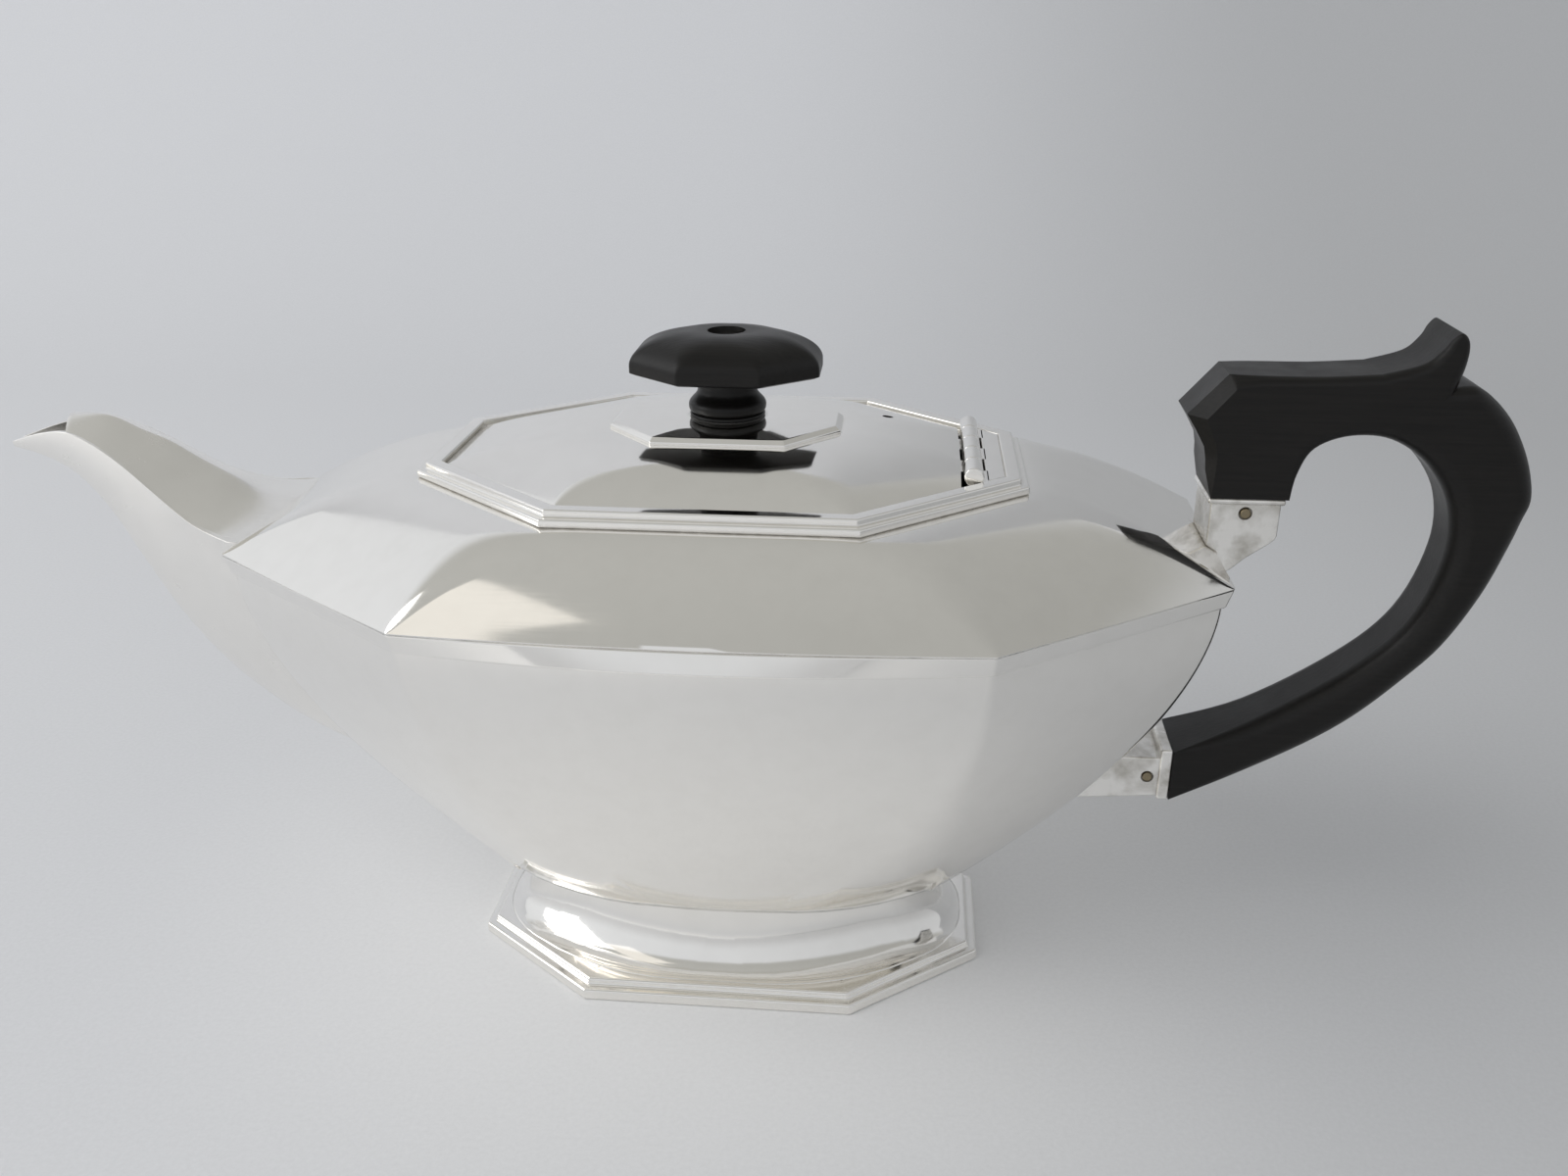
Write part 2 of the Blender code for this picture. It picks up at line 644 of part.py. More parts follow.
fixed_leaf_x = (HINGE_X + HINGE_RADIUS + RUNNING_GAP, frame_mouth.half_length - GAP)
fixed_tab_x = (HINGE_X, sum(fixed_leaf_x) / 2)
fixed_half = frame_mouth.end_half - GAP
hinge_leaf("hinge_leaf_fixed", 0, fixed_leaf_x, fixed_tab_x, fixed_half, False)
lid_leaf_x = (cut_x - HINGE_LID_LEAF_LENGTH, HINGE_X - HINGE_RADIUS - RUNNING_GAP)
lid_tab_x = (sum(lid_leaf_x) / 2, HINGE_X)
hinge_leaf("hinge_leaf_lid", 1, lid_leaf_x, lid_tab_x, HINGE_LID_LEAF_HALF, True)
pin_span = (-HINGE_HALF_LENGTH, HINGE_HALF_LENGTH)
shade_round(add_object("hinge_pin", rod("y", hinge_line, HINGE_PIN_RADIUS, pin_span), silver))

# Spout: a trough from keel to ridge, and an arched hood over it, soldered along the ridge


def at_end(out, up):
    return -(RIM_END + out), RIM_Z + up


def rail(out, up):
    return smooth_run(list(zip(out, up)), SPOUT_SPAN_STEPS)


ridge_rail = rail(SPOUT_RIDGE_OUT, SPOUT_RIDGE_UP)
keel_rail = rail(SPOUT_KEEL_OUT, SPOUT_KEEL_UP)
crown_rail = rail(SPOUT_CROWN_OUT, SPOUT_CROWN_UP)
width_rail = [width for width, _ in rail(SPOUT_HALF_WIDTH, SPOUT_HALF_WIDTH)]

root_depth = SPOUT_RIDGE_UP[0] - SPOUT_KEEL_UP[0]
depths = [0.0, SPOUT_RIDGE_UP[0] / root_depth]
band_depth = (SPOUT_RIDGE_UP[0] + RIM_Z - BODY_TOP_Z) / root_depth
for step in range(SPOUT_ARC_STEPS + 1):
    depths.append(1 - (1 - band_depth) * (1 - step / SPOUT_ARC_STEPS) ** SPOUT_ARC_EASE)
arc_steps = [(depth, -1) for depth in depths] + [(depth, 1) for depth in depths[-2::-1]]


def wall_offset(edge, middle):
    """How far the pot's end wall stands off the straight line from a root's edge to its middle."""
    line = [tuple(p + (q - p) * depth for p, q in zip(edge, middle)) for depth, _ in arc_steps]
    return [-pot_end(z) - x for x, z in line]


def spout_arc(edge, middle, half_width, fullness, offsets):
    """Points from one ridge to the other, through the middle of the keel or the crown."""
    arc = []
    for (depth, side), offset in zip(arc_steps, offsets):
        x, z = (p + (q - p) * depth for p, q in zip(edge, middle))
        arc.append((x + offset, side * half_width * (1 - depth ** fullness) ** (1 / fullness), z))
    return arc


def spout_shell(edges, middles, widths, fullness):
    """A bent shell through the stations, with its root on the pot's end wall.

    The bulge of the wall is carried out from the root and fades over the first stations.
    """
    root = wall_offset(edges[0], middles[0])
    loops = []
    for index, (edge, middle, width) in enumerate(zip(edges, middles, widths)):
        inner_share = 1 - SPOUT_SHEET / math.dist(edge, middle)
        inner = tuple(p + (q - p) * inner_share for p, q in zip(edge, middle))
        fade = max(0, 1 - index / SPOUT_ROOT_STATIONS)
        outer_offsets = [fade * min(offset, 0) for offset in root] if index else root
        inner_offsets = outer_offsets if index else wall_offset(edge, inner)
        outer_arc = spout_arc(edge, middle, width, fullness, outer_offsets)
        inner_arc = spout_arc(edge, inner, width - SPOUT_SHEET, fullness, inner_offsets)
        loops.append(outer_arc + inner_arc[::-1])
    return skin(loops, folded=True)


edges = [at_end(*point) for point in ridge_rail]
keels = [at_end(*point) for point in keel_rail]
crowns = [at_end(*point) for point in crown_rail]
hood_edges = [(x, z + GAP) for x, z in edges[:len(crowns)]]
trough = spout_shell(edges, keels, width_rail, TROUGH_FULLNESS)
shade_round(add_object("spout_trough", trough, silver))
hood = spout_shell(hood_edges, crowns, width_rail, HOOD_FULLNESS)
shade_round(add_object("spout_hood", hood, silver))

# Handle: one piece shaped in outline, with its edges rounded and a tenon at each end


def from_rim(points):
    return [(RIM_END + out, RIM_Z + up) for out, up in points]


def drawn_in(outline, distance, flat_ends):
    """The outline with its edges moved inwards, apart from the flat edges that leave the given points."""
    points = [Vector(point) for point in outline]
    drawn = []
    for i, point in enumerate(points):
        arriving = (point - points[i - 1]).normalized()
        leaving = (points[(i + 1) % len(points)] - point).normalized()
        inward_before = Vector((arriving.y, -arriving.x))
        inward_after = Vector((leaving.y, -leaving.x))
        if outline[i] in flat_ends:
            move = leaving / leaving.dot(inward_before)
        elif outline[i - 1] in flat_ends:
            move = arriving / arriving.dot(inward_after)
        else:
            move = (inward_before + inward_after) / (1 + inward_before.dot(inward_after))
        drawn.append(tuple(point + distance * move))
    return drawn


outline = list(HANDLE_FRONT)
outline += smooth_run([outline[-1], *HANDLE_TOP], HANDLE_SPAN_STEPS)[1:]
outline += HANDLE_TIP
for stretch in (HANDLE_THUMB, HANDLE_BACK, HANDLE_SWEEP):
    outline += smooth_run([outline[-1], *stretch], HANDLE_SPAN_STEPS)[1:]
outline += smooth_run(HANDLE_INNER, HANDLE_SPAN_STEPS)
flat_ends = (HANDLE_SWEEP[-1], HANDLE_INNER[-1])

sections = []
for step in range(HANDLE_ROUND_STEPS + 1):
    turn = math.pi / 2 * step / HANDLE_ROUND_STEPS
    edge = from_rim(drawn_in(outline, HANDLE_ROUND * (1 - math.sin(turn)), flat_ends))
    y = HANDLE_HALF_THICKNESS - HANDLE_ROUND * (1 - math.cos(turn))
    sections.append((edge, y))
handle_loops = [[(x, -y, z) for x, z in edge] for edge, y in sections]
handle_loops += [[(x, y, z) for x, z in edge] for edge, y in reversed(sections)]
handle = add_object("handle", skin(handle_loops), blackwood)
shade_round(handle)

socket_half = HANDLE_HALF_THICKNESS - SOCKET_STEP_IN
tenon_half = socket_half - SOCKET_WALL - GAP
tenon_margin = SOCKET_WALL + GAP
underside_end = UPPER_SOCKET_UNDERSIDE[0]
upper_tenon = (
    (RIM_END + UPPER_SOCKET_BACK + tenon_margin, RIM_END + underside_end[0] - tenon_margin),
    (RIM_Z + underside_end[1], RIM_Z + HANDLE_FRONT[0][1] + TENON_ROOT),
)
lower_face = RIM_END + HANDLE_INNER[0][0]
lower_tenon = (
    (lower_face - LOWER_TENON_LENGTH, lower_face + TENON_ROOT),
    (RIM_Z + LOWER_SOCKET_DOWN + tenon_margin, RIM_Z + LOWER_SOCKET_UP - tenon_margin),
)
for tenon_x, tenon_z in (upper_tenon, lower_tenon):
    combine(handle, "UNION", block(tenon_x, (-tenon_half, tenon_half), tenon_z))


# Sockets: silver boxes soldered to the pot's end, each with a pocket for a tenon and a pin

def socket(name, outline, bead, tenon):
    """A socket from its outline, with a bead round its mouth and a pocket round the tenon."""
    made = add_object(name, slab(outline, socket_half), silver)
    bead_x, bead_z = bead
    combine(made, "UNION", block(bead_x, (-HANDLE_HALF_THICKNESS, HANDLE_HALF_THICKNESS), bead_z))
    (x0, x1), (z0, z1) = tenon
    pocket_half = tenon_half + GAP
    pocket = block((x0 - GAP, x1 + GAP), (-pocket_half, pocket_half), (z0 - GAP, z1 + GAP))
    combine(made, "DIFFERENCE", pocket)
    return made


def pinned(name, holed, pin):
    """A pin across the pot, with its hole through the socket and the handle's tenon."""
    half = socket_half + PIN_PROUD
    across = (-HANDLE_HALF_THICKNESS - GAP, HANDLE_HALF_THICKNESS + GAP)
    for piece in (holed, handle):
        hole = rod("y", pin, PIN_RADIUS + GAP, across, SMALL_ROUND_STEPS)
        combine(piece, "DIFFERENCE", hole)
    shade_round(add_object(name, rod("y", pin, PIN_RADIUS, (-half, half), SMALL_ROUND_STEPS), silver))


seat_x = RIM_END + UPPER_SOCKET_BACK
seat_z = shoulder_height(-UPPER_SOCKET_BACK / (RIM_END - FRAME.half_length)) + GAP
upper_top = RIM_Z + UPPER_SOCKET_UP
upper_mouth = (seat_x, RIM_END + underside_end[0] + SOCKET_STEP_IN)
upper_outline = [(seat_x + SOCKET_STEP_IN, upper_top), (RIM_END + underside_end[0], upper_top)]
upper_outline += from_rim(smooth_run(UPPER_SOCKET_UNDERSIDE, UNDERSIDE_STEPS))
upper_outline += [(RIM_END + GAP, RIM_Z + GAP), (seat_x + SOCKET_STEP_IN, seat_z)]
upper_bead = (upper_mouth, (upper_top - SOCKET_BEAD, upper_top))
upper_socket = socket("upper_socket", upper_outline, upper_bead, upper_tenon)
pinned("upper_pin", upper_socket, (RIM_END + UPPER_PIN_OUT, RIM_Z + UPPER_PIN_UP))

lower_end = lower_face - GAP
lower_top = RIM_Z + LOWER_SOCKET_UP
lower_toe = RIM_Z + LOWER_SOCKET_TOE
lower_outline = [(lower_end, RIM_Z + LOWER_SOCKET_DOWN), (lower_end, lower_top)]
for step in range(LOWER_SEAT_STEPS + 1):
    z = lower_top + (lower_toe - lower_top) * step / LOWER_SEAT_STEPS
    lower_outline.append((pot_end(z), z))
lower_bead = (
    (lower_end - LOWER_SOCKET_BEAD, lower_end),
    (RIM_Z + LOWER_BEAD_DOWN, RIM_Z + LOWER_BEAD_UP),
)
lower_socket = socket("lower_socket", lower_outline, lower_bead, lower_tenon)
lower_pin = (lower_end - LOWER_PIN_FROM_END, RIM_Z + (LOWER_SOCKET_UP + LOWER_SOCKET_DOWN) / 2)
pinned("lower_pin", lower_socket, lower_pin)
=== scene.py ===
"""Octagonal silver teapot with a hinged lid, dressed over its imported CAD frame.

X runs along the pot, with the spout at -X and the handle at +X. Pieces are drawn in pot
millimetres, from the middle of the pot, and set into the frame's metres when they are finished.
"""

import math

import bmesh
import bpy
from mathutils import Matrix, Vector


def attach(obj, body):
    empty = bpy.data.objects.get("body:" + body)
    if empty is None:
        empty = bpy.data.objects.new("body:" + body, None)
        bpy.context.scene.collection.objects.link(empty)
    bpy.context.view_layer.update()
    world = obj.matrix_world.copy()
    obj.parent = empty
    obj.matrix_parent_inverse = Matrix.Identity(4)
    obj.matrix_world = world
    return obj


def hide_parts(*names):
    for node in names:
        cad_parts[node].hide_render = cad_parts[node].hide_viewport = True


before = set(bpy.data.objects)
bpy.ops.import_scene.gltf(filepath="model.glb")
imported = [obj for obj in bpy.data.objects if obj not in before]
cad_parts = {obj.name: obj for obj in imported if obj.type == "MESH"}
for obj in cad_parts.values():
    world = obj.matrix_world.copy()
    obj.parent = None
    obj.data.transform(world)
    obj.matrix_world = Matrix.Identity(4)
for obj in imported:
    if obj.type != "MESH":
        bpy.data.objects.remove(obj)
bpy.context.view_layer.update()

# Lower body: the bowl of the pot, raised from one sheet of silver, with a front and back that bow
# out between eased upright corners. Its end wall is pierced with strainer holes behind the spout,
# and its flat base is soldered to the foot.

MM = 0.001
POT_MIDDLE = -1.6
SHEET = 1.4
# An octagon is given by half its length, half its front edge, half its width and half its end edge.
RIM = (86.4, 46.1, 52.2, 22.6)
RIM_Z = 85.1
BODY_TURN = (48.2, 25.7, 29.1, 12.6)
BODY_TURN_Z = 20.7
BODY_TOP_Z = 81.2
BODY_TUCK = 0.4
BODY_STEP_IN = 1.3
BODY_BASE_INSET = 6.5
BODY_BASE_Z = 17.0
BODY_BOW = 4.0
BODY_CROWN = 0.35
BODY_END_POWER = 1.75
BODY_FRONT_POWER = 1.3
BODY_ROWS = 48
RIDGE_SOFT = (3.0, 3.0)
TURN_SOFT = (50.0, 22.0)
BASE_SOFT = (42.0, 15.5)
BASE_BOW = 0.3
PANEL_STEPS = (8, 10, 24, 10)
CORNER_STEPS = 6
STRAINER_HOLE = 3.0
STRAINER_PITCH = 5.2
STRAINER_ROWS = (3, 4, 5, 4, 3)
STRAINER_Z = 67.0
STRAINER_DEPTH = 9.0
RIDGE_ANGLE = 12
CREASE_ANGLE = 38


def drawn_in(octagon, distance):
    """The octagon with every side moved in by the same distance."""
    half_length, front_half, half_width, end_half = octagon
    turn = math.atan2(half_width - end_half, half_length - front_half)
    return (
        half_length - distance,
        front_half - distance * math.tan(turn / 2),
        half_width - distance,
        end_half - distance * math.tan(math.pi / 4 - turn / 2),
    )


def between(first, second, share):
    return tuple(p + (q - p) * share for p, q in zip(first, second))


def octagon_ring(octagon, z, soft, bow=0.0, crown=0.0):
    """Points round an octagon with rounded corners.

    Soft is one radius, or one for the front and back corners and one for the end corners. The
    front and back are bowed out by one rise and the corner panels by another.
    """
    length, front, width, end = octagon
    front_soft, end_soft = soft if isinstance(soft, tuple) else (soft, soft)
    radii = (end_soft, end_soft, front_soft, front_soft) * 2
    corners = [Vector(spot) for spot in ((length, -end), (length, end), (front, width), (-front, width))]
    corners += [-corner for corner in corners]
    sides = [after - before for before, after in zip(corners, corners[1:] + corners[:1])]
    ring = []
    for side in range(8):
        along = sides[side].normalized()
        outward = Vector((along.y, -along.x))
        turn = along.angle(sides[(side + 1) % 8])
        radius = radii[(side + 1) % 8]
        start = corners[side] + along * radii[side] * math.tan(along.angle(sides[side - 1]) / 2)
        stop = corners[(side + 1) % 8] - along * radius * math.tan(turn / 2)
        rise = (0.0, crown, bow, crown)[side % 4]
        steps = PANEL_STEPS[side % 4]
        for step in range(steps + 1):
            share = step / steps
            ring.append(start.lerp(stop, share) + outward * rise * 4 * share * (1 - share))
        for step in range(1, CORNER_STEPS):
            leaning = Matrix.Rotation(turn * step / CORNER_STEPS, 2) @ outward
            ring.append(stop + radius * (leaning - outward))
    return [(spot.x, spot.y, z) for spot in ring]


def drawn_through(sections, closed=True, capped=(), around=False):
    """A skin extruded from its first section through the rest.

    Closed sections are rings and open ones are strips. Capped names the ends (0 or -1) that get
    a face, and around joins the last section to the first.
    """
    skin = bmesh.new()
    place = skin.verts.layers.int.new("place")
    for spot, point in enumerate(sections[0]):
        skin.verts.new(point)[place] = spot
    corners = skin.verts[:]
    edges = [skin.edges.new(pair) for pair in zip(corners, corners[1:])]
    if closed:
        edges.append(skin.edges.new((corners[-1], corners[0])))
    loops = {0: edges}
    for section in sections[1:]:
        grown = bmesh.ops.extrude_edge_only(skin, edges=edges)["geom"]
        edges = [part for part in grown if isinstance(part, bmesh.types.BMEdge)]
        for corner in {corner for edge in edges for corner in edge.verts}:
            corner.co = section[corner[place]]
    loops[-1] = edges
    for end in capped:
        bmesh.ops.edgeloop_fill(skin, edges=loops[end])
    if around:
        bmesh.ops.bridge_loops(skin, edges=loops[0] + loops[-1])
    bmesh.ops.recalc_face_normals(skin, faces=skin.faces)
    return skin


def eased(skin, width, angle, segments=3, chosen=lambda edge: True):
    """Round over the edges that turn by more than an angle, in degrees."""
    edges = [edge for edge in skin.edges
             if edge.is_manifold and edge.calc_face_angle() > math.radians(angle) and chosen(edge)]
    bmesh.ops.bevel(skin, geom=edges, offset=width, segments=segments, profile=0.5,
                    affect="EDGES", material=-1, clamp_overlap=True)
    return skin


def piece_from(name, skin, material):
    """An object from a skin drawn in pot millimetres."""
    bmesh.ops.scale(skin, verts=skin.verts, vec=(MM, MM, MM))
    bmesh.ops.translate(skin, verts=skin.verts, vec=(POT_MIDDLE * MM, 0, 0))
    mesh = bpy.data.meshes.new(name)
    skin.to_mesh(mesh)
    skin.free()
    mesh.materials.append(material)
    piece = bpy.data.objects.new(name, mesh)
    bpy.context.scene.collection.objects.link(piece)
    return piece


def walled(piece, thickness, even=True):
    """Give a sheet its thickness, inwards from its outer face, held even round tight bends or not."""
    wall = piece.modifiers.new("wall", "SOLIDIFY")
    wall.thickness = thickness * MM
    wall.offset = -1
    wall.use_even_offset = even


def pierced(piece, cutter, overlapping=False):
    """Settle a piece's modifiers and take a skin in pot millimetres out of it.

    Overlapping says that the piece is gathered from skins that cross.
    """
    tool = piece_from("cutter", cutter, piece.data.materials[0])
    cut = piece.modifiers.new("cut", "BOOLEAN")
    cut.object = tool
    cut.solver = "EXACT"
    cut.use_self = overlapping
    settled = bpy.data.meshes.new_from_object(
        piece.evaluated_get(bpy.context.evaluated_depsgraph_get()))
    settled.name = piece.name
    piece.modifiers.clear()
    piece.data = settled
    bpy.data.objects.remove(tool)


def polished(piece):
    """Smooth shading that keeps the broad panels true and breaks only at open creases."""
    piece.data.shade_smooth()
    piece.data.set_sharp_from_angle(angle=math.radians(CREASE_ANGLE))
    normals = piece.modifiers.new("panel_normals", "WEIGHTED_NORMAL")
    normals.keep_sharp = True


def cylinder(radius, start, end, segments=32):
    """A round bar between two points."""
    bar = bmesh.new()
    axis = Vector(end) - Vector(start)
    bmesh.ops.create_cone(bar, cap_ends=True, segments=segments, radius1=radius, radius2=radius,
                          depth=axis.length)
    turn = axis.to_track_quat("Z", "Y").to_matrix().to_4x4()
    middle = (Vector(start) + Vector(end)) / 2
    bmesh.ops.transform(bar, verts=bar.verts, matrix=Matrix.Translation(middle) @ turn)
    return bar


def gathered(*skins):
    """Several separate skins in one."""
    whole = bmesh.new()
    for skin in skins:
        part = bpy.data.meshes.new("part")
        skin.to_mesh(part)
        skin.free()
        whole.from_mesh(part)
        bpy.data.meshes.remove(part)
    return whole


def linear(hex_colour):
    """An sRGB hex colour as linear RGBA."""
    shares = [int(hex_colour[i:i + 2], 16) / 255 for i in (1, 3, 5)]
    return (*(s / 12.92 if s <= 0.04045 else ((s + 0.055) / 1.055) ** 2.4 for s in shares), 1.0)


def add(tree, kind, inputs, **settings):
    """A node with its settings, and each input either linked to a socket or set."""
    node = tree.nodes.new(kind)
    for name, value in settings.items():
        setattr(node, name, value)
    for socket, value in inputs.items():
        if isinstance(value, bpy.types.NodeSocket):
            tree.links.new(value, node.inputs[socket])
        else:
            node.inputs[socket].default_value = value
    return node


# Polished sterling silver: planished, buffed and then used. It gives sharp, slightly wavering
# reflections, a haze of hairline scratches, and warm grey tarnish where a cloth can't reach.
SILVER_COLOUR = "#FBF9F5"
TARNISH_COLOUR = "#8E8675"
WAVER_MM = 26.0
WAVER_DEPTH_MM = 0.028
HAZE_MM = 7.0
HAIRLINE_MM = 0.35
HAIRLINE_LENGTH_MM = 9.0
STAIN_MM = 4.5
BLOTCH_MM = 2.0


def polished_silver(name, rough=0.07, haze=0.06, waver=1.0, tarnish=0.4, stain=0.03,
                    reach=1.4):
    silver = bpy.data.materials.new(name)
    silver.use_nodes = True
    tree = silver.node_tree
    shader = tree.nodes["Principled BSDF"]
    spot = add(tree, "ShaderNodeTexCoord", {}).outputs["Object"]
    hazy = add(tree, "ShaderNodeTexNoise",
               {"Vector": spot, "Scale": 1 / (HAZE_MM * MM), "Detail": 4.0, "Roughness": 0.65})
    stroke = add(tree, "ShaderNodeMapping", {"Vector": spot, "Rotation": (0.3, 0.2, 0.6), "Scale": (
        1 / (HAIRLINE_LENGTH_MM * MM), 1 / (HAIRLINE_MM * MM), 1 / (HAIRLINE_MM * MM))})
    hairline = add(tree, "ShaderNodeTexNoise",
                   {"Vector": stroke.outputs["Vector"], "Scale": 1.0, "Detail": 2.0})
    dulled = add(tree, "ShaderNodeMath", {
        0: hairline.outputs["Fac"], 1: hazy.outputs["Fac"]}, operation="MULTIPLY")
    gloss = add(tree, "ShaderNodeMapRange", {
        "Value": dulled.outputs[0], "From Min": 0.15, "From Max": 0.45,
        "To Min": rough, "To Max": rough + haze})
    tree.links.new(gloss.outputs["Result"], shader.inputs["Roughness"])
    corner = add(tree, "ShaderNodeAmbientOcclusion", {"Distance": reach * MM}, samples=6)
    blotch = add(tree, "ShaderNodeTexNoise",
                 {"Vector": spot, "Scale": 1 / (BLOTCH_MM * MM), "Detail": 3.0, "Roughness": 0.7})
    sheltered = add(tree, "ShaderNodeMapRange", {
        "Value": corner.outputs["AO"], "From Min": 0.75, "From Max": 0.2,
        "To Min": 0.0, "To Max": tarnish})
    cloudy = add(tree, "ShaderNodeTexNoise",
                 {"Vector": spot, "Scale": 1 / (STAIN_MM * MM), "Detail": 4.0, "Roughness": 0.6})
    stained = add(tree, "ShaderNodeMapRange", {
        "Value": cloudy.outputs["Fac"], "From Min": 0.4, "From Max": 0.7, "To Min": 0.0, "To Max": stain})
    patchy = add(tree, "ShaderNodeMath", {
        0: sheltered.outputs["Result"], 1: blotch.outputs["Fac"], 2: stained.outputs["Result"]},
        operation="MULTIPLY_ADD")
    colour = add(tree, "ShaderNodeMix", {
        "Factor": patchy.outputs[0], 6: linear(SILVER_COLOUR), 7: linear(TARNISH_COLOUR)},
        data_type="RGBA")
    tree.links.new(colour.outputs[2], shader.inputs["Base Color"])
    bare = add(tree, "ShaderNodeMath", {0: 1.0, 1: sheltered.outputs["Result"]}, operation="SUBTRACT")
    tree.links.new(bare.outputs[0], shader.inputs["Metallic"])
    wave = add(tree, "ShaderNodeTexNoise",
               {"Vector": spot, "Scale": 1 / (WAVER_MM * MM), "Detail": 1.0, "Roughness": 0.4})
    dished = add(tree, "ShaderNodeBump", {
        "Height": wave.outputs["Fac"], "Strength": 1.0, "Distance": waver * WAVER_DEPTH_MM * MM})
    tree.links.new(dished.outputs["Normal"], shader.inputs["Normal"])
    return silver


raised_silver = polished_silver("raised_silver")


def body_share(z, power):
    return (max(0.0, BODY_TOP_Z - z) / (BODY_TOP_Z - BODY_TURN_Z)) ** power


def body_octagon(z):
    """The bowl's octagon at a height. Its front and back draw in more evenly than its ends."""
    ends = between(body_top, BODY_TURN, body_share(z, BODY_END_POWER))
    fronts = between(body_top, BODY_TURN, body_share(z, BODY_FRONT_POWER))
    return (*ends[:2], *fronts[2:])


body_top = drawn_in(RIM, BODY_STEP_IN)
body_rings = [octagon_ring(drawn_in(BODY_TURN, BODY_BASE_INSET), BODY_BASE_Z, BASE_SOFT, BASE_BOW)]
for row in range(BODY_ROWS + 1):
    z = BODY_TURN_Z + (BODY_TOP_Z - BODY_TURN_Z) * row / BODY_ROWS
    soft = between(RIDGE_SOFT, TURN_SOFT, body_share(z, BODY_END_POWER))
    bow, = between((BODY_BOW,), (BASE_BOW,), body_share(z, BODY_FRONT_POWER))
    body_rings.append(octagon_ring(body_octagon(z), z, soft, bow, BODY_CROWN))
body_rings.append([(x, y, z + BODY_TUCK) for x, y, z in body_rings[-1]])
bowl = drawn_through(body_rings, capped=(0,))
raised_body = piece_from("raised_body", bowl, raised_silver)
walled(raised_body, SHEET)
holes = []
for row, count in enumerate(STRAINER_ROWS):
    z = STRAINER_Z + (row - (len(STRAINER_ROWS) - 1) / 2) * STRAINER_PITCH
    wall_x = -body_octagon(z)[0]
    for column in range(count):
        y = (column - (count - 1) / 2) * STRAINER_PITCH
        holes.append(cylinder(STRAINER_HOLE / 2, (wall_x - STRAINER_DEPTH / 2, y, z),
                              (wall_x + STRAINER_DEPTH / 2, y, z), segments=20))
pierced(raised_body, gathered(*holes))
polished(raised_body)
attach(raised_body, "pot")
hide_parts("lower_body")

# Rim band: a strip of silver drawn to section and soldered round the widest line of the pot, where
# it covers the seam between the body and the shoulder. Its face eases from the shoulder's edge out
# to the bowed body.

BAND_TOP_Z = 84.8
BAND_BOTTOM_Z = 81.4
BAND_UNDERCUT = 0.9
BAND_WIDTH = 3.0
BAND_EDGE = 0.35
RIM_BOW = 1.7
RIM_SOFT = 1.2

band_inner = drawn_in(RIM, BAND_WIDTH)
band = drawn_through([
    octagon_ring(RIM, BAND_TOP_Z, RIM_SOFT, RIM_BOW),
    octagon_ring(drawn_in(RIM, BAND_UNDERCUT / 2), (BAND_TOP_Z + BAND_BOTTOM_Z) / 2, RIM_SOFT,
                 (RIM_BOW + BODY_BOW) / 2),
    octagon_ring(drawn_in(RIM, BAND_UNDERCUT), BAND_BOTTOM_Z, RIM_SOFT, BODY_BOW),
    octagon_ring(band_inner, BAND_BOTTOM_Z, RIM_SOFT, RIM_BOW),
    octagon_ring(band_inner, BAND_TOP_Z, RIM_SOFT, RIM_BOW),
], around=True)
eased(band, BAND_EDGE, CREASE_ANGLE)
rim_strip = piece_from("rim_strip", band, raised_silver)
polished(rim_strip)
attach(rim_strip, "pot")
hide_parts("rim_band")

# Shoulder: the top of the pot, raised from sheet in eight panels that curve in from the rim to the
# lid frame and meet in crisp mitred ridges. It is soldered along the rim.

FRAME = (52.7, 25.3, 37.6, 14.5)
SHOULDER_TOP_Z = 97.5
SHOULDER_POWER = 1.7
SHOULDER_ROWS = 40
SHOULDER_TOP_SOFT = (24.0, 12.0)
SHOULDER_SOFTENING = 0.6
SHOULDER_CROWN = 0.3
SHOULDER_TUCK = 2.0
SHOULDER_LIP = 0.35


def shoulder_height(share):
    return RIM_Z + (SHOULDER_TOP_Z - RIM_Z) * (1 - (1 - share) ** SHOULDER_POWER)


shoulder_rings = [octagon_ring(RIM, RIM_Z - SHOULDER_LIP, RIM_SOFT, RIM_BOW)]
for row in range(SHOULDER_ROWS + 1):
    share = row / SHOULDER_ROWS
    soft = between((RIM_SOFT, RIM_SOFT), SHOULDER_TOP_SOFT, share ** SHOULDER_SOFTENING)
    bow, crown = between((RIM_BOW, SHOULDER_CROWN), (0, 0), share)
    shoulder_rings.append(octagon_ring(
        between(RIM, FRAME, share), shoulder_height(share), soft, bow, crown))
shoulder_rings.append(octagon_ring(
    drawn_in(FRAME, SHOULDER_TUCK), SHOULDER_TOP_Z, SHOULDER_TOP_SOFT))
shoulder = drawn_through(shoulder_rings)
raised_shoulder = piece_from("raised_shoulder", shoulder, raised_silver)
walled(raised_shoulder, SHEET)
polished(raised_shoulder)
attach(raised_shoulder, "pot")
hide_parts("shoulder")

# Spout: two pieces of sheet, a keeled trough below and an arched hood above, soldered along the
# ridge, where the trough's edge stands out as a fine bright line. The trough runs on past the hood
# as a pouring lip, and tea has dulled it inside.

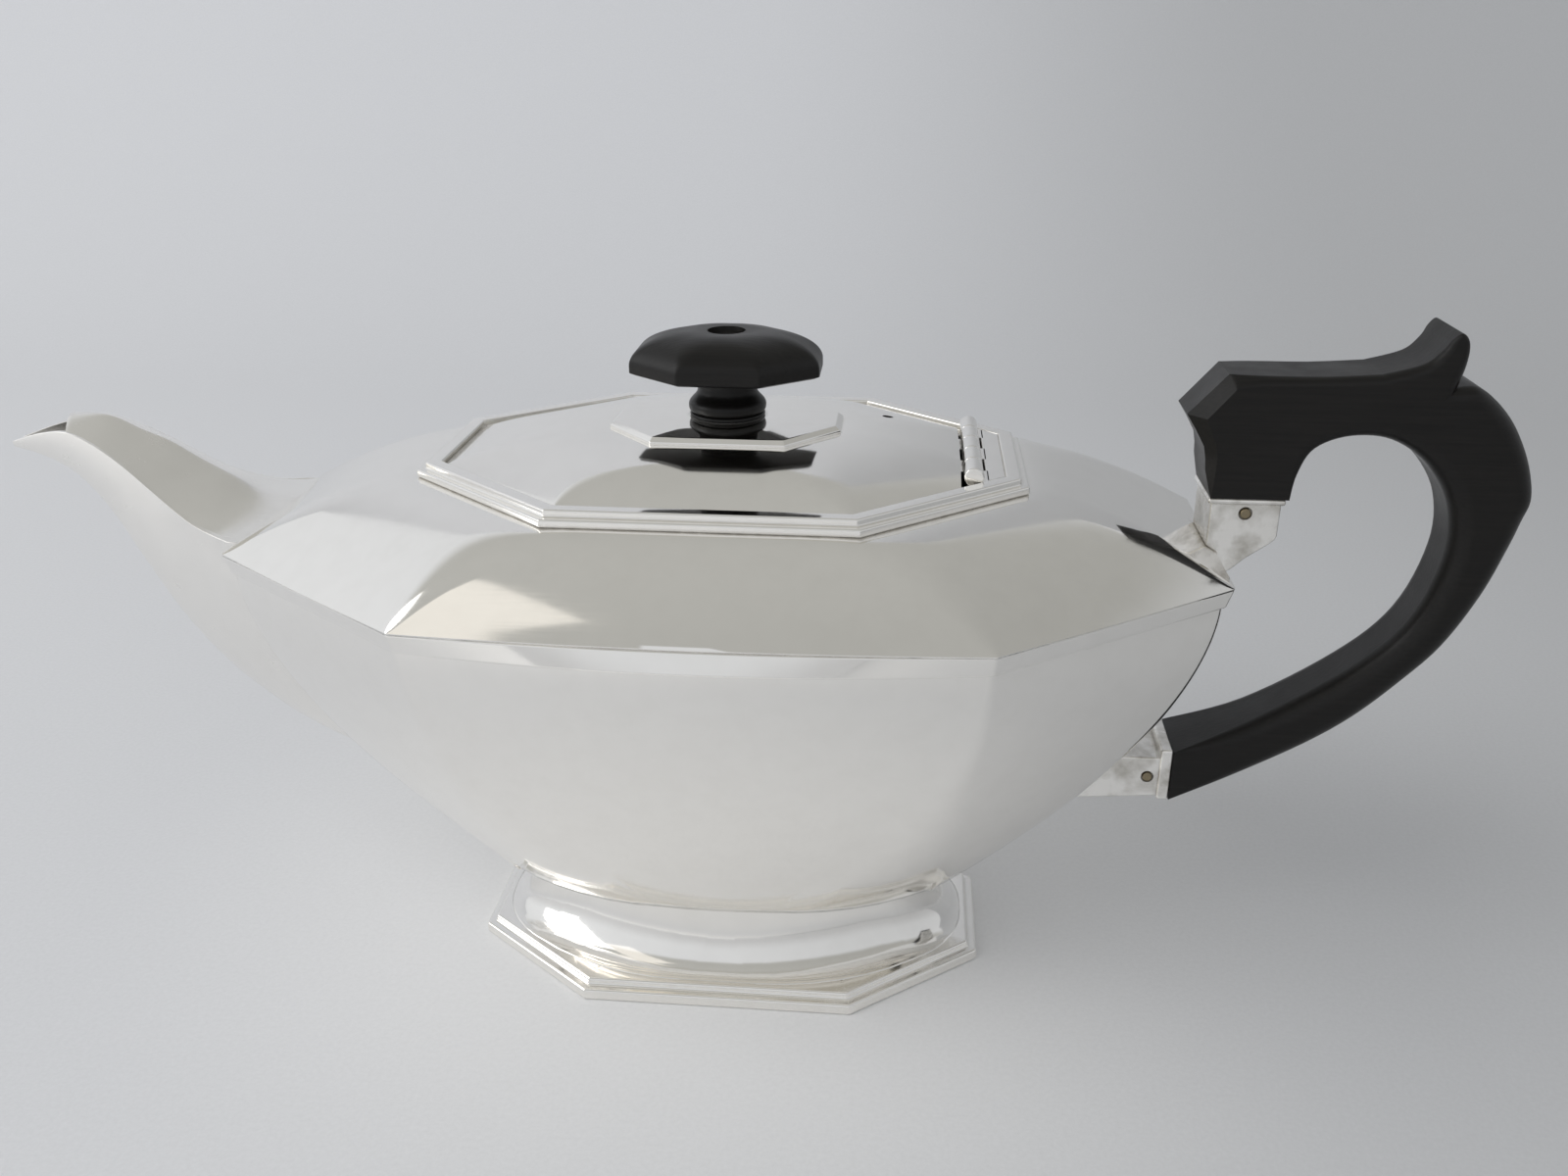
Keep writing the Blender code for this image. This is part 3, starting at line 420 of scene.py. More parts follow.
SPOUT_SHEET = 1.0
SPOUT_RIDGE = (
    (0.6, 0.5), (5.0, 1.0), (9.5, 2.3), (14.0, 4.5), (18.5, 7.5),
    (23.5, 11.1), (29.0, 14.3), (35.0, 16.2), (42.0, 15.1), (48.5, 12.9),
)
SPOUT_HALF_WIDTH = (18.5, 16.2, 14.3, 12.2, 10.6, 9.2, 7.8, 6.3, 4.2, 2.0)
SPOUT_KEEL = (
    (-26.4, -52.5), (-8.0, -45.2), (4.5, -37.5), (12.5, -30.5), (19.0, -22.3),
    (24.5, -12.5), (30.2, -1.3), (36.0, 6.0), (42.3, 9.6), (48.5, 11.3),
)
SPOUT_CROWN = (
    (-4.4, 2.6), (2.0, 3.9), (7.2, 6.8), (13.0, 9.9), (18.5, 13.2),
    (23.5, 15.3), (29.8, 18.0), (37.0, 18.2),
)
# A section's fullness is how upright it stands at the ridge, and how broad it is at its middle.
TROUGH_FULLNESS = (2.3, 2.3)
HOOD_FULLNESS = (1.0, 1.35)
HOOD_STEP_IN = 0.4
SPAN_STEPS = 6
ARC_STEPS = 22
ROOT_STATIONS = 12
SPOUT_EDGE = 0.3
SQUARE_ANGLE = 60


def smooth_run(points, steps):
    """Points along a smooth curve that passes through each of the given points."""
    padded = [points[0], *points, points[-1]]
    run = []
    for before, start, end, after in zip(padded, padded[1:], padded[2:], padded[3:]):
        for step in range(steps):
            t = step / steps
            run.append(tuple(
                0.5 * (2 * q + (r - p) * t + (2 * p - 5 * q + 4 * r - s) * t * t
                       + (3 * q - p - 3 * r + s) * t ** 3)
                for p, q, r, s in zip(before, start, end, after)))
    return run + [tuple(points[-1])]


def wall_end(z):
    """How far out the pot's end wall stands at height z, behind the rim band."""
    if z < RIM_Z:
        return body_octagon(z)[0]
    rise = (z - RIM_Z) / (SHOULDER_TOP_Z - RIM_Z)
    return between(RIM, FRAME, 1 - (1 - rise) ** (1 / SHOULDER_POWER))[0]


def at_spout(points):
    return [(-(RIM[0] + out), RIM_Z + up) for out, up in points]


def spout_skin(edges, middles, widths, fullness):
    """A bent sheet through arcs from ridge to ridge, with its first arc lying on the end wall."""
    arc = [(math.sin(math.pi / 2 * step / ARC_STEPS), side) for side, run in
           ((-1, range(ARC_STEPS + 1)), (1, range(ARC_STEPS - 1, -1, -1))) for step in run]
    sections = []
    for station, (edge, middle, width) in enumerate(zip(edges, middles, widths)):
        fade = max(0.0, 1 - station / ROOT_STATIONS)
        section = []
        for depth, side in arc:
            root_x, root_z = between(edges[0], middles[0], depth)
            x, z = between(edge, middle, depth)
            lean = -wall_end(root_z) - root_x
            x += lean if station == 0 else fade * min(lean, 0)
            section.append((x, side * width * (1 - depth ** fullness[0]) ** (1 / fullness[1]), z))
        sections.append(section)
    return drawn_through(sections, closed=False)


ridge = at_spout(smooth_run(SPOUT_RIDGE, SPAN_STEPS))
keel = at_spout(smooth_run(SPOUT_KEEL, SPAN_STEPS))
crown = at_spout(smooth_run(SPOUT_CROWN, SPAN_STEPS))
half_widths = [width for width, in smooth_run([(width,) for width in SPOUT_HALF_WIDTH], SPAN_STEPS)]
spout_silver = polished_silver("tea_stained_silver", rough=0.2, haze=0.08, tarnish=0.8, reach=7.0)
trough = piece_from("spout_keel", spout_skin(ridge, keel, half_widths, TROUGH_FULLNESS), spout_silver)
hood = piece_from("spout_arch", spout_skin(
    ridge[:len(crown)], crown, [width - HOOD_STEP_IN for width in half_widths], HOOD_FULLNESS),
    spout_silver)
for sheet, node in ((trough, "spout_trough"), (hood, "spout_hood")):
    walled(sheet, SPOUT_SHEET)
    rounded = sheet.modifiers.new("edge", "BEVEL")
    rounded.width = SPOUT_EDGE * MM
    rounded.segments = 3
    rounded.limit_method = "ANGLE"
    rounded.angle_limit = math.radians(SQUARE_ANGLE)
    polished(sheet)
    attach(sheet, "pot")
    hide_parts(node)

# Foot: a coved skirt of sheet soldered under the body, on a stepped base moulding of drawn wire
# mitred at the eight corners. A fine bead hides the joint with the body.

FOOT_BASE = (49.1, 25.1, 31.0, 12.3)
FOOT_NECK = (38.5, 14.5, 21.5, 8.5)
FOOT_STEP_Z = 2.3
FOOT_STEP_INSET = 1.8
FOOT_RIM_Z = 3.6
FOOT_RIM_WIDTH = 6.6
FOOT_SHEET = 0.7
FOOT_COVE_INSET = 3.0
FOOT_BEAD = 0.3
FOOT_BEAD_EDGE = 0.1
FOOT_BEAD_HEIGHT = 0.6
FOOT_TOP_Z = 17.05
FOOT_ROWS = 28
FOOT_EDGE = 0.5
FOOT_CORNER = 0.6
FOLD_ANGLE = 40
SKIRT_SOFT = (48.0, 19.0)
NECK_SOFT = (50.0, 13.5)

foot_rim_inner = drawn_in(FOOT_BASE, FOOT_RIM_WIDTH)
foot_step = drawn_in(FOOT_BASE, FOOT_STEP_INSET)
moulding = drawn_through([
    octagon_ring(FOOT_BASE, 0.0, FOOT_CORNER),
    octagon_ring(FOOT_BASE, FOOT_STEP_Z, FOOT_CORNER),
    octagon_ring(foot_step, FOOT_STEP_Z, FOOT_CORNER),
    octagon_ring(foot_step, FOOT_RIM_Z, FOOT_CORNER),
    octagon_ring(foot_rim_inner, FOOT_RIM_Z, FOOT_CORNER),
    octagon_ring(foot_rim_inner, 0.0, FOOT_CORNER),
], around=True)
eased(moulding, FOOT_EDGE, RIDGE_ANGLE)
base_moulding = piece_from("base_moulding", moulding, raised_silver)
foot_skirt = drawn_in(FOOT_BASE, FOOT_COVE_INSET)
foot_bead = drawn_in(FOOT_NECK, -FOOT_BEAD)
cove_top = FOOT_TOP_Z - FOOT_BEAD_HEIGHT
cove = []
for row in range(FOOT_ROWS + 1):
    turn = math.pi / 2 * row / FOOT_ROWS
    z = FOOT_RIM_Z + (cove_top - FOOT_RIM_Z) * (1 - math.cos(turn))
    share = math.sin(turn)
    soft = between(SKIRT_SOFT, NECK_SOFT, share)
    cove.append(octagon_ring(between(foot_skirt, FOOT_NECK, share), z, soft))
cove.append(octagon_ring(foot_bead, cove_top, NECK_SOFT))
cove.append(octagon_ring(foot_bead, FOOT_TOP_Z, NECK_SOFT))
skirt = drawn_through(cove)
eased(skirt, FOOT_BEAD_EDGE, FOLD_ANGLE)
coved_foot = piece_from("coved_foot", skirt, raised_silver)
walled(coved_foot, FOOT_SHEET, even=False)
for piece, node in ((base_moulding, "foot_rim"), (coved_foot, "foot")):
    polished(piece)
    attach(piece, "pot")
    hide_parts(node)

# Lid frame: a two-step moulding of drawn silver mitred round the mouth and soldered to the
# shoulder, with an inner ledge that the lid rests on. The rebate over the ledge has gone dull.

FRAME_Z = 97.5
FRAME_STEP_Z = 98.9
FRAME_TOP_Z = 100.1
FRAME_STEP_INSET = 1.4
FRAME_WIDTH = 4.0
FRAME_LEDGE = 2.2
FRAME_LEDGE_Z = 98.7
FRAME_EDGE = 0.35
FRAME_SOFT = 0.5

frame_step = drawn_in(FRAME, FRAME_STEP_INSET)
frame_mouth = drawn_in(FRAME, FRAME_WIDTH)
frame_ledge = drawn_in(frame_mouth, FRAME_LEDGE)
mouth = drawn_through([
    octagon_ring(FRAME, FRAME_Z, FRAME_SOFT),
    octagon_ring(FRAME, FRAME_STEP_Z, FRAME_SOFT),
    octagon_ring(frame_step, FRAME_STEP_Z, FRAME_SOFT),
    octagon_ring(frame_step, FRAME_TOP_Z, FRAME_SOFT),
    octagon_ring(frame_mouth, FRAME_TOP_Z, FRAME_SOFT),
    octagon_ring(frame_mouth, FRAME_LEDGE_Z, FRAME_SOFT),
    octagon_ring(frame_ledge, FRAME_LEDGE_Z, FRAME_SOFT),
    octagon_ring(frame_ledge, FRAME_Z, FRAME_SOFT),
], around=True)
eased(mouth, FRAME_EDGE, RIDGE_ANGLE)
frame_silver = polished_silver("drawn_silver", tarnish=1.0, reach=2.4)
mouth_frame = piece_from("mouth_frame", mouth, frame_silver)
polished(mouth_frame)
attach(mouth_frame, "pot")
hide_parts("lid_frame")

# Lid: a low dome raised in eight panels, cut straight across beside the hinge, with a small steam
# vent drilled near the hinge. It drops into the frame with a hairline of clearance.

LID_CLEARANCE = 0.55
LID_Z = 99.3
LID_EDGE = 0.5
LID_RISE = 5.2
LID_POWER = 1.85
LID_ROWS = 24
LID_CUT_X = 41.15
LID_CORNER = (0.6, 0.6)
LID_SOFT = (20.0, 11.0)
LID_SOFTENING = 0.6
LID_RIDGE = 0.3
LID_SHEET = 0.9
VENT_SPOT = (28.3, 9.4)
VENT_HOLE = 2.0
PLATE = (20.4, 11.5, 14.7, 4.7)

lid_edge = drawn_in(frame_mouth, LID_CLEARANCE)
lid_rings = [octagon_ring(lid_edge, LID_Z - LID_EDGE, LID_CORNER)]
for row in range(LID_ROWS + 1):
    share = row / LID_ROWS
    soft = between(LID_CORNER, LID_SOFT, share ** LID_SOFTENING)
    lid_rings.append(octagon_ring(
        between(lid_edge, PLATE, share), LID_Z + LID_RISE * (1 - (1 - share) ** LID_POWER), soft))
dome = drawn_through(lid_rings, capped=(-1,))
eased(dome, LID_RIDGE, FOLD_ANGLE)
bmesh.ops.bisect_plane(dome, geom=dome.verts[:] + dome.edges[:] + dome.faces[:],
                       plane_co=(LID_CUT_X, 0, 0), plane_no=(1, 0, 0), clear_outer=True)
raised_lid = piece_from("raised_lid", dome, raised_silver)
walled(raised_lid, LID_SHEET)
pierced(raised_lid, cylinder(VENT_HOLE / 2, (*VENT_SPOT, LID_Z - LID_RISE),
                             (*VENT_SPOT, LID_Z + 2 * LID_RISE), segments=24))
polished(raised_lid)
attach(raised_lid, "lid")
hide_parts("lid")

# Hinge: three knuckles soldered to the frame and two to the lid, turned on one pin, with dark
# hairline slots between them.

HINGE_X = 43.3
HINGE_Z = 100.75
HINGE_RADIUS = 1.65
HINGE_HALF_LENGTH = 16.2
HINGE_KNUCKLES = 5
HINGE_GAP = 0.15
HINGE_SLOT = 0.45
HINGE_LEAF = 1.0
HINGE_EDGE = 0.25
FIXED_LEAF_Z = 100.0
LID_LEAF_X = 36.2
LID_LEAF_HALF = 16.0


def block(x_range, y_range, z_range):
    """A box between two lengths, widths and heights."""
    box = bmesh.new()
    bmesh.ops.create_cube(box, size=1)
    ranges = (x_range, y_range, z_range)
    bmesh.ops.scale(box, verts=box.verts, vec=[high - low for low, high in ranges])
    bmesh.ops.translate(box, verts=box.verts, vec=[(low + high) / 2 for low, high in ranges])
    return box


def hinge_half(first, leaf, web_end, web_z):
    """Every second knuckle from the first, each eased at its ends and joined to the leaf."""
    skins = [eased(leaf, HINGE_EDGE, SQUARE_ANGLE)]
    length = 2 * HINGE_HALF_LENGTH / HINGE_KNUCKLES
    for index in range(first, HINGE_KNUCKLES, 2):
        start = -HINGE_HALF_LENGTH + index * length + HINGE_GAP / 2
        knuckle = cylinder(HINGE_RADIUS, (HINGE_X, start, HINGE_Z),
                           (HINGE_X, start + length - HINGE_GAP, HINGE_Z))
        skins.append(eased(knuckle, HINGE_EDGE, SQUARE_ANGLE))
        skins.append(block(sorted((HINGE_X, web_end)), (start, start + length - HINGE_GAP), web_z))
    return gathered(*skins)


leaf_z = (FRAME_LEDGE_Z, FRAME_LEDGE_Z + HINGE_LEAF)
leaf_x = HINGE_X + HINGE_RADIUS + HINGE_SLOT
mouth_lean = (frame_mouth[2] - frame_mouth[3]) / (frame_mouth[0] - frame_mouth[1])
leaf_half = frame_mouth[3] + (frame_mouth[0] - leaf_x) * mouth_lean
leaf_plan = [(leaf_x, -leaf_half), (frame_mouth[0], -frame_mouth[3]),
             (frame_mouth[0], frame_mouth[3]), (leaf_x, leaf_half)]
fixed_z = (FRAME_LEDGE_Z, FIXED_LEAF_Z)
fixed_leaf = drawn_through([[(x, y, z) for x, y in leaf_plan] for z in fixed_z], capped=(0, -1))
fixed_knuckles = piece_from("fixed_knuckles", hinge_half(0, fixed_leaf, leaf_x + HINGE_SLOT, fixed_z),
                            raised_silver)
lid_leaf = block((LID_LEAF_X, HINGE_X - HINGE_RADIUS - HINGE_SLOT),
                 (-LID_LEAF_HALF, LID_LEAF_HALF), leaf_z)
lid_knuckles = piece_from("lid_knuckles", hinge_half(1, lid_leaf, LID_LEAF_X, leaf_z), raised_silver)
for piece, body, node in ((fixed_knuckles, "pot", "hinge_leaf_fixed"),
                          (lid_knuckles, "lid", "hinge_leaf_lid")):
    polished(piece)
    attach(piece, body)
    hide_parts(node)
# The pin, and the nut under the lid, stay as the CAD made them, in the same silver.
for node in ("hinge_pin", "knob_nut"):
    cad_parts[node].data.materials.clear()
    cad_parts[node].data.materials.append(raised_silver)

# Finial plate: an octagonal silver plate with a bevelled edge, under the knob and held by its bolt.
# Its top is slightly crowned and highly polished, so it mirrors the knob.

PLATE_Z = 104.3
PLATE_TOP_Z = 106.2
PLATE_BEVEL = 0.9
PLATE_BEVEL_DROP = 0.7
PLATE_CROWN = 0.5
PLATE_SEAT = (6.2, 4.6, 6.2, 4.6)
PLATE_EDGE = 0.15
PLATE_SOFT = 0.4

flat_silver = polished_silver("flat_silver", rough=0.05, haze=0.04, waver=0.4)
plate_shape = drawn_through([
    octagon_ring(PLATE, PLATE_Z, PLATE_SOFT),
    octagon_ring(PLATE, PLATE_TOP_Z - PLATE_CROWN - PLATE_BEVEL_DROP, PLATE_SOFT),
    octagon_ring(drawn_in(PLATE, PLATE_BEVEL), PLATE_TOP_Z - PLATE_CROWN, PLATE_SOFT),
    octagon_ring(between(drawn_in(PLATE, PLATE_BEVEL), PLATE_SEAT, 0.5), PLATE_TOP_Z - PLATE_CROWN / 2,
                 PLATE_SOFT),
    octagon_ring(PLATE_SEAT, PLATE_TOP_Z, PLATE_SOFT),
], capped=(0, -1))
eased(plate_shape, PLATE_EDGE, RIDGE_ANGLE)
finial_seat = piece_from("finial_seat", plate_shape, flat_silver)
polished(finial_seat)
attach(finial_seat, "lid")
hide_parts("finial_plate")

# Knob: ebonised hardwood, a turned washer and neck under an octagonal cap that was sawn to shape
# and rounded over by hand. One silver bolt goes down through it, with its head in a round recess.

WASHER = ((6.1, 106.0), (6.5, 106.2), (6.7, 106.5), (6.6, 106.85), (6.35, 107.0))
NECK = (
    (6.4, 107.0), (6.7, 107.25), (6.85, 107.7), (6.85, 108.4), (6.5, 109.05), (5.8, 109.8),
    (5.3, 110.6), (5.15, 112.0), (5.15, 113.3), (5.4, 114.6),
)
NECK_STEPS = 3
CAP = (16.6, 7.1, 12.7, 4.85)
CAP_TOP = (5.2, 2.2, 4.4, 1.6)
CAP_Z = 113.95
CAP_HEIGHT = 7.2
CAP_SIDE = 1.6
CAP_UNDER_INSET = 0.8
# Corners of the cap at its edge, half-way up and at the top.
CAP_SOFT = ((0.9, 0.9), (10.0, 5.5), (5.2, 3.5))
CAP_ROWS = 20
RECESS_RADIUS = 3.35
RECESS_DEPTH = 2.3
BOLT_HEAD = ((2.95, 118.8), (2.95, 119.9), (2.7, 120.2), (0.0, 120.35))
TURNED_STEPS = 64

# Ebonised hardwood: close-grained wood stained black and waxed. It gives a near-black body, a soft
# satin sheen, and faint grain lines that break the sheen up.
EBONISED_COLOUR = "#0E0D0C"
EBONISED_WORN = "#181614"
GRAIN_MM = 0.5
GRAIN_LENGTH_MM = 14.0
GRAIN_DEPTH_MM = 0.025
WEAR_MM = 9.0
WAXED_ROUGHNESS = (0.3, 0.42)


def ebonised_wood(name, turn=(0, 0, 0)):
    wood = bpy.data.materials.new(name)
    wood.use_nodes = True
    tree = wood.node_tree
    shader = tree.nodes["Principled BSDF"]
    shader.inputs["IOR"].default_value = 1.52
    shader.inputs["Specular IOR Level"].default_value = 0.27
    spot = add(tree, "ShaderNodeTexCoord", {}).outputs["Object"]
    along = add(tree, "ShaderNodeMapping", {
        "Vector": spot, "Rotation": turn,
        "Scale": (1 / (GRAIN_LENGTH_MM * MM), 1 / (GRAIN_MM * MM), 1 / (GRAIN_MM * MM))})
    grain = add(tree, "ShaderNodeTexNoise",
                {"Vector": along.outputs["Vector"], "Scale": 1.0, "Detail": 3.0, "Roughness": 0.6})
    wear = add(tree, "ShaderNodeTexNoise",
               {"Vector": spot, "Scale": 1 / (WEAR_MM * MM), "Detail": 3.0, "Roughness": 0.6})
    tone = add(tree, "ShaderNodeMapRange", {
        "Value": grain.outputs["Fac"], "From Min": 0.3, "From Max": 0.75})
    colour = add(tree, "ShaderNodeMix", {
        "Factor": tone.outputs["Result"], 6: linear(EBONISED_COLOUR), 7: linear(EBONISED_WORN)},
        data_type="RGBA")
    tree.links.new(colour.outputs[2], shader.inputs["Base Color"])
    sheen = add(tree, "ShaderNodeMapRange", {
        "Value": wear.outputs["Fac"], "From Min": 0.3, "From Max": 0.7,
        "To Min": WAXED_ROUGHNESS[0], "To Max": WAXED_ROUGHNESS[1]})
    tree.links.new(sheen.outputs["Result"], shader.inputs["Roughness"])
    pores = add(tree, "ShaderNodeBump", {
        "Height": grain.outputs["Fac"], "Strength": 1.0, "Distance": GRAIN_DEPTH_MM * MM})
    tree.links.new(pores.outputs["Normal"], shader.inputs["Normal"])
    return wood


knob_wood = ebonised_wood("ebonised_knob", turn=(0, math.pi / 2, 0))


def turned(profile):
    """A solid of revolution about the knob's axis, from (radius, height) pairs going up."""
    solid = bmesh.new()
    points = [(0.0, profile[0][1]), *profile]
    if profile[-1][0] > 0:
        points.append((0.0, profile[-1][1]))
    corners = [solid.verts.new((radius, 0, z)) for radius, z in points]
    line = [solid.edges.new(pair) for pair in zip(corners, corners[1:])]
    bmesh.ops.spin(solid, geom=corners + line, cent=(0, 0, 0), axis=(0, 0, 1), steps=TURNED_STEPS,
                   angle=2 * math.pi, use_merge=True)
    bmesh.ops.remove_doubles(solid, verts=solid.verts, dist=1e-4)
    bmesh.ops.recalc_face_normals(solid, faces=solid.faces)
    return solid


edge_soft, side_soft, top_soft = CAP_SOFT
cap_rings = [octagon_ring(drawn_in(CAP, CAP_UNDER_INSET), CAP_Z, edge_soft),
             octagon_ring(CAP, CAP_Z + CAP_UNDER_INSET / 2, edge_soft)]
for row in range(CAP_ROWS + 1):
    turn = math.pi / 2 * row / CAP_ROWS
    share = 1 - math.cos(turn)
    soft = between(between(edge_soft, side_soft, share), between(side_soft, top_soft, share), share)
    cap_rings.append(octagon_ring(
        between(CAP, CAP_TOP, share),
        CAP_Z + CAP_SIDE + (CAP_HEIGHT - CAP_SIDE) * math.sin(turn), soft))
cap_shape = drawn_through(cap_rings, capped=(0, -1))
carved_cap = piece_from("carved_cap", cap_shape, knob_wood)
recess_floor = CAP_Z + CAP_HEIGHT - RECESS_DEPTH
pierced(carved_cap, cylinder(RECESS_RADIUS, (0, 0, recess_floor), (0, 0, CAP_Z + 2 * CAP_HEIGHT)))
turned_washer = piece_from("turned_washer", turned(WASHER), knob_wood)
turned_neck = piece_from("turned_neck", turned(smooth_run(NECK, NECK_STEPS)), knob_wood)
bolt_head = piece_from("bolt_head", turned(BOLT_HEAD), flat_silver)
for piece, node, slot in ((carved_cap, "knob_cap", "blackwood"),
                          (turned_washer, "knob_washer", "blackwood"),
                          (turned_neck, "knob_neck", "blackwood"),
                          (bolt_head, "knob_bolt", "silver")):
    polished(piece)
    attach(piece, "lid")
    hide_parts(node)

# Handle: one piece of ebonised hardwood, fretted to outline and shaped with a rasp. The nose is
# chamfered, the top is nearly square, and the loop is rounded to the hand. A tenon at each end is
# pinned in a silver socket.

HANDLE_HALF = 6.75
# Each corner gives its distance out from the rim's end and up from the rim, how far its edge is
# rounded over, and how flat that rounding is, from 0 for round to 1 for a chamfer.
HANDLE_FRONT = ((-2.2, 10.05, 0.1, 1), (-3.4, 14.8, 1.5, 1), (-4.0, 18.8, 1.8, 1),
                (-7.3, 24.2, 2.4, 1))
HANDLE_SLOPE = ((-1.2, 31.3, 2.2, 1),)
HANDLE_TOP = ((4.0, 31.35, 1.6, 0.3), (14.1, 31.4, 1.6, 0), (23.3, 32.0, 1.7, 0))
HANDLE_TIP = ((29.4, 33.8, 1.6, 0), (32.0, 36.2, 1.3, 0), (33.1, 38.1, 0.9, 0), (34.4, 39.2, 0.5, 0),
              (35.7, 38.1, 0.9, 0), (36.25, 36.0, 1.4, 0), (36.2, 33.2, 1.9, 0), (35.6, 30.0, 2.2, 0))
HANDLE_BACK = (
    (38.7, 30.2, 2.2, 0), (42.2, 28.1, 3.0, 0), (45.9, 24.3, 3.4, 0), (48.8, 19.6, 3.5, 0),
    (50.7, 15.0, 3.5, 0), (51.6, 10.6, 3.4, 0), (50.8, 6.8, 3.5, 0), (49.5, 1.6, 3.5, 0),
    (46.7, -7.2, 3.5, 0), (41.9, -17.0, 3.5, 0), (36.1, -24.3, 3.5, 0), (28.8, -31.9, 3.4, 0),
    (20.6, -38.1, 3.2, 0), (8.4, -45.0, 2.2, 0), (-2.95, -50.1, 0.1, 0),
)
HANDLE_INNER = (
    (-2.95, -40.0, 0.1, 0), (10.9, -33.7, 2.8, 0), (26.3, -23.1, 3.4, 0), (35.2, -13.4, 3.5, 0),
    (39.2, -1.0, 3.5, 0), (38.3, 8.8, 3.5, 0), (33.6, 16.2, 3.3, 0), (27.0, 20.6, 2.8, 0),
    (20.0, 21.2, 2.4, 0), (14.3, 19.0, 1.9, 0), (11.9, 14.6, 1.2, 0), (11.0, 10.05, 0.1, 0),
)
# How many steps each span of a stretch is drawn in.
HANDLE_STEPS = {"front": 2, "slope": 1, "top": 3, "loop": 6}
HANDLE_ROUND_STEPS = 10

outline = smooth_run(HANDLE_FRONT, HANDLE_STEPS["front"])
for stretch, kind in ((HANDLE_SLOPE, "slope"), (HANDLE_TOP, "top"), (HANDLE_TIP, "loop"),
                      (HANDLE_BACK, "loop")):
    outline += smooth_run([outline[-1], *stretch], HANDLE_STEPS[kind])[1:]
outline += smooth_run(HANDLE_INNER, HANDLE_STEPS["loop"])
spots = [Vector((RIM[0] + out, RIM_Z + up)) for out, up, _, _ in outline]
inward = []
for before, spot, after in zip([spots[-1], *spots], spots, [*spots[1:], spots[0]]):
    arriving = (spot - before).normalized()
    leaving = (after - spot).normalized()
    first = Vector((arriving.y, -arriving.x))
    second = Vector((leaving.y, -leaving.x))
    inward.append((first + second) / (1 + first.dot(second)))
sections = []
for step in range(HANDLE_ROUND_STEPS + 1):
    share = step / HANDLE_ROUND_STEPS
    turn = math.pi / 2 * share
    section = []
    for spot, move, (_, _, rounding, flatness) in zip(spots, inward, outline):
        drop = rounding * (flatness * share + (1 - flatness) * (1 - math.cos(turn)))
        cut = rounding * (flatness * (1 - share) + (1 - flatness) * (1 - math.sin(turn)))
        place = spot + cut * move
        section.append((place.x, -(HANDLE_HALF - drop), place.y))
    sections.append(section)
sections += [[(x, -y, z) for x, y, z in section] for section in reversed(sections)]
handle_wood = ebonised_wood("ebonised_handle")
carved_handle = piece_from("carved_handle", drawn_through(sections, capped=(0, -1)), handle_wood)
polished(carved_handle)
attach(carved_handle, "pot")
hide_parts("handle")

# Sockets: silver boxes soldered to the pot's end, each with a bead round its mouth. The upper one
# has a hollowed underside, and the lower one leans back to the body. A base-metal pin goes through
# each socket and the handle's tenon.

SOCKET_HALF = 6.15
SOCKET_EDGE = 0.45
BEAD_EDGE = 0.5
UPPER_SEAT_OUT = -1.9
UPPER_TOP = 10.05
UPPER_BEAD = 1.1
UPPER_BEAD_OUT = (-2.5, 10.6)
UPPER_UNDERSIDE = ((10.0, 3.2), (9.2, 2.0), (5.2, -1.0), (2.6, -3.4), (0.0, -4.8))
UNDERSIDE_STEPS = 4
LOWER_FACE = -3.0
LOWER_UP = -41.6
LOWER_DOWN = -49.6
LOWER_TOE = -51.4
LOWER_BEAD = 2.2
LOWER_BEAD_SPAN = (-50.2, -39.6)
SEAT_STEPS = 6
PIN_RADIUS = 0.9
PIN_HOLE = 1.2
PIN_PROUD = 0.25
PIN_SINK = 0.8
UPPER_PIN = (4.1, 7.3)
LOWER_PIN_FROM_FACE = 4.2

# Nickel brass pin: filed flush and gone dull. It gives a small warm disc with soft edges.
PIN_COLOUR = "#9A8A6C"
PIN_GRAIN_MM = 0.6

soldered_silver = polished_silver("soldered_silver", rough=0.16, haze=0.14, waver=0.6, tarnish=0.9,
                                  stain=0.55)
pin_brass = bpy.data.materials.new("filed_brass")
pin_brass.use_nodes = True
pin_tree = pin_brass.node_tree
pin_shader = pin_tree.nodes["Principled BSDF"]
pin_shader.inputs["Metallic"].default_value = 1.0
pin_shader.inputs["Roughness"].default_value = 0.35
pin_grain = add(pin_tree, "ShaderNodeTexNoise", {
    "Vector": add(pin_tree, "ShaderNodeTexCoord", {}).outputs["Object"],
    "Scale": 1 / (PIN_GRAIN_MM * MM), "Detail": 2.0})
pin_tone = add(pin_tree, "ShaderNodeMix", {
    "Factor": pin_grain.outputs["Fac"], 6: linear(PIN_COLOUR), 7: linear(TARNISH_COLOUR)},
    data_type="RGBA")
pin_tree.links.new(pin_tone.outputs[2], pin_shader.inputs["Base Color"])


def slab(side_view, half):
    """A side view of (x, z) points drawn out to both sides."""
    return drawn_through([[(x, y, z) for x, z in side_view] for y in (-half, half)], capped=(0, -1))


def at_rim(points):
    return [(RIM[0] + out, RIM_Z + up) for out, up in points]


